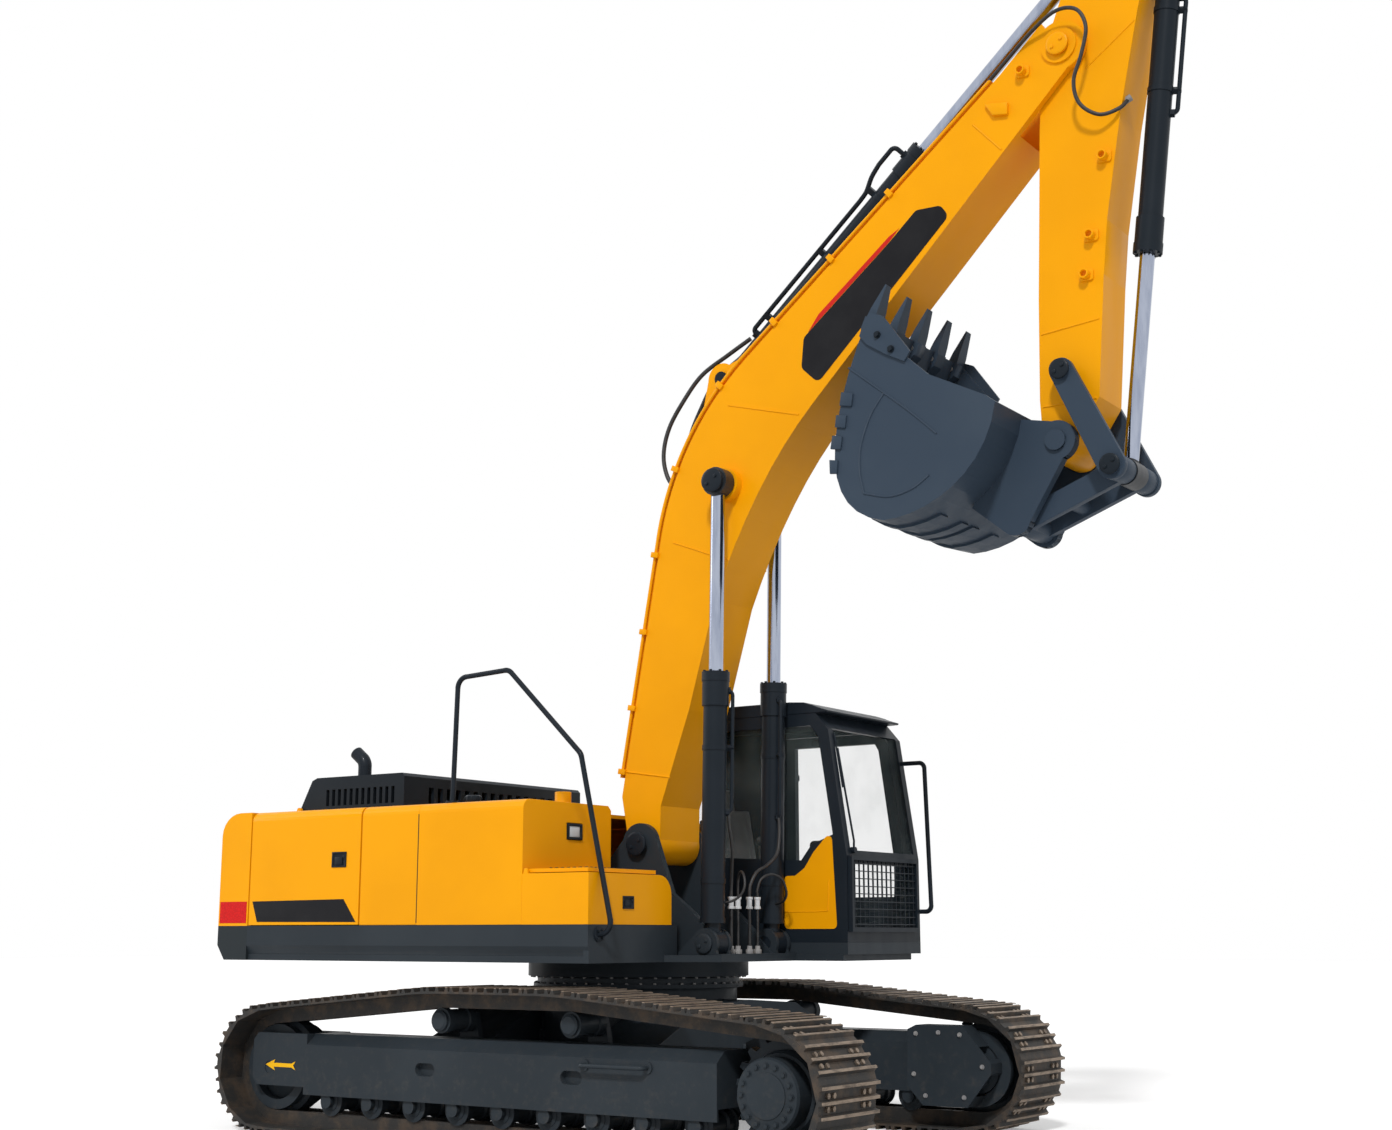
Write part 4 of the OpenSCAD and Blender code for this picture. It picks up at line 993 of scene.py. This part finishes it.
# bucket: heel shrouds on the side edges, cutter bolts and tooth pins
bucketWear = {
    "face": 0.595, "thick": 0.016,
    "shrouds": (((1.937, 4.434), (2.017, 4.413), (2.006, 4.335), (1.923, 4.352)),
                ((1.899, 4.297), (1.970, 4.285), (1.960, 4.207), (1.889, 4.222)),
                ((1.870, 4.174), (1.938, 4.158), (1.926, 4.078), (1.855, 4.092)),
                ((1.847, 4.026), (1.905, 4.015), (1.898, 3.933), (1.849, 3.939))),
    "cutterFace": 0.611, "cutterBolts": ((2.195, 4.745), (2.285, 4.640)), "bolt": 0.024,
    "lip": (2.124, 4.876), "run": (0.434, 0.901), "teeth": 5, "span": 1.076, "pin": 0.017, "halfPin": 0.058,
}


def bucketTrim():
    g = bucketWear
    parts = [sidePlate(s, g["face"] - 0.002, g["thick"]) for s in g["shrouds"]]
    pair(parts, "heelShrouds", "bucket", bucketPaint, 0.004)
    places = [at(x, g["cutterFace"], z) for x, z in g["cutterBolts"]]
    pair(boltSet(places, (0, 1, 0), g["bolt"]), "cutterBolts", "bucket", blackPaint)
    pins = []
    back = 0.045
    x, z = g["lip"][0] - g["run"][0] * back + 0.02, g["lip"][1] - g["run"][1] * back - 0.01
    for i in range(g["teeth"]):
        y = g["span"] * (i / (g["teeth"] - 1) - 0.5)
        pin = rod(at(x, y - g["halfPin"], z), at(x, y + g["halfPin"], z), g["pin"], 18)
        inset(pin, 0.005, -0.003, lambda f: len(f.vertices) > 8)
        pins.append(pin)
    settle(pins, "toothPins", "bucket", zincSteel)


bucketTrim()
print("bucket dressed")

# cab: yellow side panel, wiper, monitor, door pull and seat
cabPanel = {"face": 0.4356, "thick": 0.0024, "corner": 0.028, "ridge": 0.0035,
            "points": ((0.852, 1.264), (1.244, 1.264), (1.212, 1.888), (1.076, 1.751), (1.006, 1.650), (0.935, 1.602),
                       (0.852, 1.602)),
            "crease": ((0.858, 1.373), (1.150, 1.375), (1.176, 1.400), (1.188, 1.573))}
g = cabPanel
o = sidePlate(roundedPlate(g["points"], g["corner"]), g["face"], -g["thick"])
line = [at(x, g["face"] - g["thick"], z) for x, z in g["crease"]]
ridge = tube(curveLine(line, 4), g["ridge"], 2)
settle([o, ridge], "cabPanel", "upper", yellowPaint)

wiper = {"pivot": (1.326, 0.520, 1.760), "tip": (1.228, 0.500, 2.420), "hub": 0.020, "arm": 0.007, "blade": 0.006,
         "below": 0.26, "above": 0.10}


def wiperArm():
    g = wiper
    pivot, tip = at(*g["pivot"]), at(*g["tip"])
    lean = (tip - pivot).normalized()
    ahead = Vector((1, 0, 0))
    hub = rod(pivot - ahead * 0.02, pivot + ahead * 0.014, g["hub"], 20)
    arm = tube([pivot, pivot + lean * 0.06 + ahead * 0.012, tip], g["arm"])
    middle = tip - ahead * 0.008
    blade = rod(middle - lean * g["below"], middle + lean * g["above"], g["blade"], 8)
    settle([hub, arm, blade], "wiper", "upper", blackPaint)


wiperArm()
monitor = {"low": (1.000, 0.560, 1.700), "high": (1.035, 0.740, 1.830), "foot": (1.040, 0.600, 1.250),
           "head": (1.018, 0.620, 1.72), "post": 0.014}
g = monitor
o = block(g["low"], g["high"])
inset(o, 0.012, -0.004, lambda f: f.normal.x < -0.9)
post = rod(at(*g["foot"]), at(*g["head"]), g["post"], 16)
settle([o, post], "monitor", "upper", cabPlastic, 0.004)
doorPull = {"x": 1.145, "foot": 1.408, "reach": 1.438, "low": 1.33, "high": 1.46, "bend": 0.014, "radius": 0.010}
g = doorPull
line = staple(g["foot"], g["reach"], g["low"], g["high"], g["bend"])
o = tube([at(g["x"], p.x, p.y) for p in line], g["radius"])
settle(o, "doorPull", "cab_door", zincSteel)

seatPads = {
    "base": {"size": (0.50, 0.48, 0.125), "crown": 0.022, "pinch": 0.03,
             "place": (0.380, 0.923, 1.440), "lean": 0, "stand": False},
    "back": {"size": (0.56, 0.46, 0.115), "crown": 0.026, "pinch": 0.04,
             "place": (0.070, 0.923, 1.795), "lean": -10, "stand": True},
    "head": {"size": (0.18, 0.25, 0.090), "crown": 0.014, "pinch": 0.05,
             "place": (-0.022, 0.923, 2.130), "lean": -10, "stand": True},
}


def cushion(g):
    # crowned pad, sides pulled in between the corners, two sewn channels along it
    a, b, c = g["size"]
    o = block((-a / 2, -b / 2, 0), (a / 2, b / 2, c), drawn=False)
    shape(o, lambda: bpy.ops.mesh.subdivide(number_cuts=15))
    for v in o.data.vertices:
        u, w, t = v.co.x / (a / 2), v.co.y / (b / 2), v.co.z / c
        face = max(0, 2 * t - 1)
        channel = math.exp(-((abs(w) - 0.5) / 0.07) ** 2) * (1 - u ** 4)
        v.co.x *= 1 - g["pinch"] * (1 - w * w)
        v.co.y *= 1 - g["pinch"] * (1 - u * u)
        v.co.z += face * (g["crown"] * (1 - u * u) * (1 - w * w) - 0.008 * channel)
        edge = max(abs(u), abs(w)) ** 8
        v.co.z -= edge * face * 0.018
    soft = o.modifiers.new("soft", "SUBSURF")
    soft.levels = soft.render_levels = 1
    hold(o)
    bpy.ops.object.modifier_apply(modifier="soft")
    turn = Matrix.Identity(4)
    if g["stand"]:
        # the pad's face looks forward and its length runs up
        turn = Matrix(((0, 0, 1, 0), (0, 1, 0, 0), (-1, 0, 0, 0), (0, 0, 0, 1)))
    lean = Matrix.Rotation(math.radians(g["lean"]), 4, "Y")
    o.matrix_world = Matrix.Translation(at(*g["place"])) @ lean @ turn
    return o


seat = settle([cushion(g) for g in seatPads.values()], "seatPads", "upper", cloth)
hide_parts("seat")
seatFrame = {"low": (0.160, 0.733, 1.1786), "high": (0.520, 1.113, 1.440), "taper": 0.86,
             "spineLow": (0.040, 0.763, 1.42), "spineHigh": (0.075, 1.083, 2.02), "pivot": (0.07, 0, 1.5), "lean": -10}
g = seatFrame
o = block(g["low"], g["high"])
shape(o, lambda: bpy.ops.transform.resize(value=(g["taper"], g["taper"], 1)), upward)
spine = block(g["spineLow"], g["spineHigh"])
pivot = at(*g["pivot"])
lean = Matrix.Rotation(math.radians(g["lean"]), 4, "Y")
spine.data.transform(Matrix.Translation(pivot) @ lean @ Matrix.Translation(-pivot))
settle([o, spine], "seatFrame", "upper", cabPlastic, 0.012, 3)
print("cab dressed")

# upper: filler cap, grip plates, rail feet
fillerCap = {"place": (-0.560, -1.020, 2.0552), "radius": 0.052, "height": 0.034, "grips": 12}
g = fillerCap
x, y, z = g["place"]
parts = [rod(at(x, y, z - 0.004), at(x, y, z + g["height"]), g["radius"], 36)]
inset(parts[0], 0.010, 0.006)
for p in ringOf(at(x, y, z + 0.002), g["radius"], g["grips"], "XY"):
    parts.append(rod(p, p + Vector((0, 0, g["height"] - 0.006)), 0.005, 8))
settle(parts, "fillerCap", "upper", blackPaint, 0.002)

gripPlates = {
    "lidGrip": {"body": "tool_box_lid", "low": (0.210, -1.275), "high": (0.570, -0.710), "top": 1.612},
    "tankGrip": {"body": "upper", "low": (-0.440, -1.260), "high": (0.080, -0.860), "top": 2.030},
    "panelGrip": {"body": "upper", "low": (-1.180, -1.190), "high": (-0.760, -0.700), "top": 2.030},
}


gripStud = {"radius": 0.009, "height": 0.005, "pitch": 0.045, "corner": 0.02, "sheet": 0.003}


def gripPlate(name, g):
    # thin dark plate with rows of raised studs
    (x0, y0), (x1, y1), z = g["low"], g["high"], g["top"]
    outline = roundedPlate(((x0, y0), (x1, y0), (x1, y1), (x0, y1)), gripStud["corner"])
    sheet = plate([at(x, y, z - 0.0005) for x, y in outline], (0, 0, gripStud["sheet"]))
    stud = rod((0, 0, 0), (0, 0, gripStud["height"]), gripStud["radius"], 10)
    inset(stud, 0.0025, 0.0015)
    places = []
    columns, rows = round((x1 - x0) / gripStud["pitch"]), round((y1 - y0) / gripStud["pitch"])
    for i in range(1, columns):
        for j in range(1, rows):
            x, y = x0 + (x1 - x0) * i / columns, y0 + (y1 - y0) * j / rows
            places.append(Matrix.Translation(at(x, y, z + 0.002)))
    settle([sheet, copies(stud, places)], name, g["body"], blackPaint)


for name, g in gripPlates.items():
    gripPlate(name, g)

railFeet = {"places": (((-0.527, -1.25, 2.030), (0, 0, 1)), ((0.630, -1.25, 1.230), (1, 0, 0))), "radius": 0.045,
            "thick": 0.010, "bolts": 0.033, "bolt": 0.007, "boltHeight": 0.018}
g = railFeet
parts = []
for place, out in g["places"]:
    foot, out = at(*place), Vector(out)
    parts.append(rod(foot, foot + out * g["thick"], g["radius"], 28))
    across = out.orthogonal().normalized()
    for turn in range(4):
        spot = foot + Matrix.Rotation(math.pi / 2 * turn, 3, out) @ across * g["bolts"]
        parts.append(rod(spot, spot + out * g["boltHeight"], g["bolt"], 6))
settle(parts, "railFeet", "upper", blackPaint, 0.001)
print("upper dressed")


# stage
view = {
    "place": (7.344, -9.961, 1.223),
    "yaw": -34.672,
    "pitch": 11.283,
    "lens": 36 * 1856.48 / 1392,
}
scene = bpy.context.scene
cameraData = bpy.data.cameras.new("camera")
cameraData.sensor_width = 36
cameraData.sensor_fit = "HORIZONTAL"
cameraData.lens = view["lens"]
cameraData.clip_end = 200
camera = bpy.data.objects.new("camera", cameraData)
scene.collection.objects.link(camera)
camera.location = at(*view["place"])
yaw, pitch = math.radians(view["yaw"]), math.radians(view["pitch"])
ahead = Vector((math.sin(yaw) * math.cos(pitch), math.cos(yaw) * math.cos(pitch), math.sin(pitch)))
camera.rotation_euler = ahead.to_track_quat("-Z", "Y").to_euler()
scene.camera = camera


def paleFloor():
    f = Finish("paleFloor", Roughness=0.9, Emission_Strength=1.0)
    grain = f.noise(2.0, 3.0)
    seen = f.node("ShaderNodeLightPath", out="Is Camera Ray")
    glow = f.blendColours(seen, (0, 0, 0), (0.30, 0.30, 0.30))
    f.tone(grain, (0.80, 0.80, 0.80), (0.84, 0.84, 0.84), Emission_Color=glow)
    return f.material


clearAll()
bpy.ops.mesh.primitive_plane_add(size=160, location=(0, 0, 0))
floor = bpy.context.object
floor.name = "floor"
floor.data.materials.append(paleFloor())

world = bpy.data.worlds.new("studio")
scene.world = world
world.use_nodes = True
tree = world.node_tree
backdrop = tree.nodes["Background"]
seen = tree.nodes.new("ShaderNodeLightPath").outputs


def larger(first, second):
    made = tree.nodes.new("ShaderNodeMath")
    made.operation = "MAXIMUM"
    tree.links.new(first, made.inputs[0])
    tree.links.new(second, made.inputs[1])
    return made.outputs[0]


# white to the camera, through glass and in reflections, dimmer as a light
mixer = tree.nodes.new("ShaderNodeMix")
mixer.data_type = "FLOAT"
direct = larger(seen["Is Camera Ray"], seen["Is Transmission Ray"])
tree.links.new(larger(direct, seen["Is Glossy Ray"]), mixer.inputs[0])
mixer.inputs[2].default_value = 0.5
mixer.inputs[3].default_value = 1.0
tree.links.new(mixer.outputs[0], backdrop.inputs["Strength"])
backdrop.inputs["Color"].default_value = (1, 1, 1, 1)

lamps = {
    "sun": {"kind": "SUN", "energy": 1.9, "turn": (48, 0, 24), "angle": 6},
    "fill": {"kind": "SUN", "energy": 0.6, "turn": (65, 0, -70), "angle": 30},
}
for name, lamp in lamps.items():
    data = bpy.data.lights.new(name, lamp["kind"])
    data.energy = lamp["energy"]
    data.angle = math.radians(lamp["angle"])
    holder = bpy.data.objects.new(name, data)
    holder.rotation_euler = [math.radians(a) for a in lamp["turn"]]
    scene.collection.objects.link(holder)
scene.view_settings.view_transform = "Standard"
print("stage set")
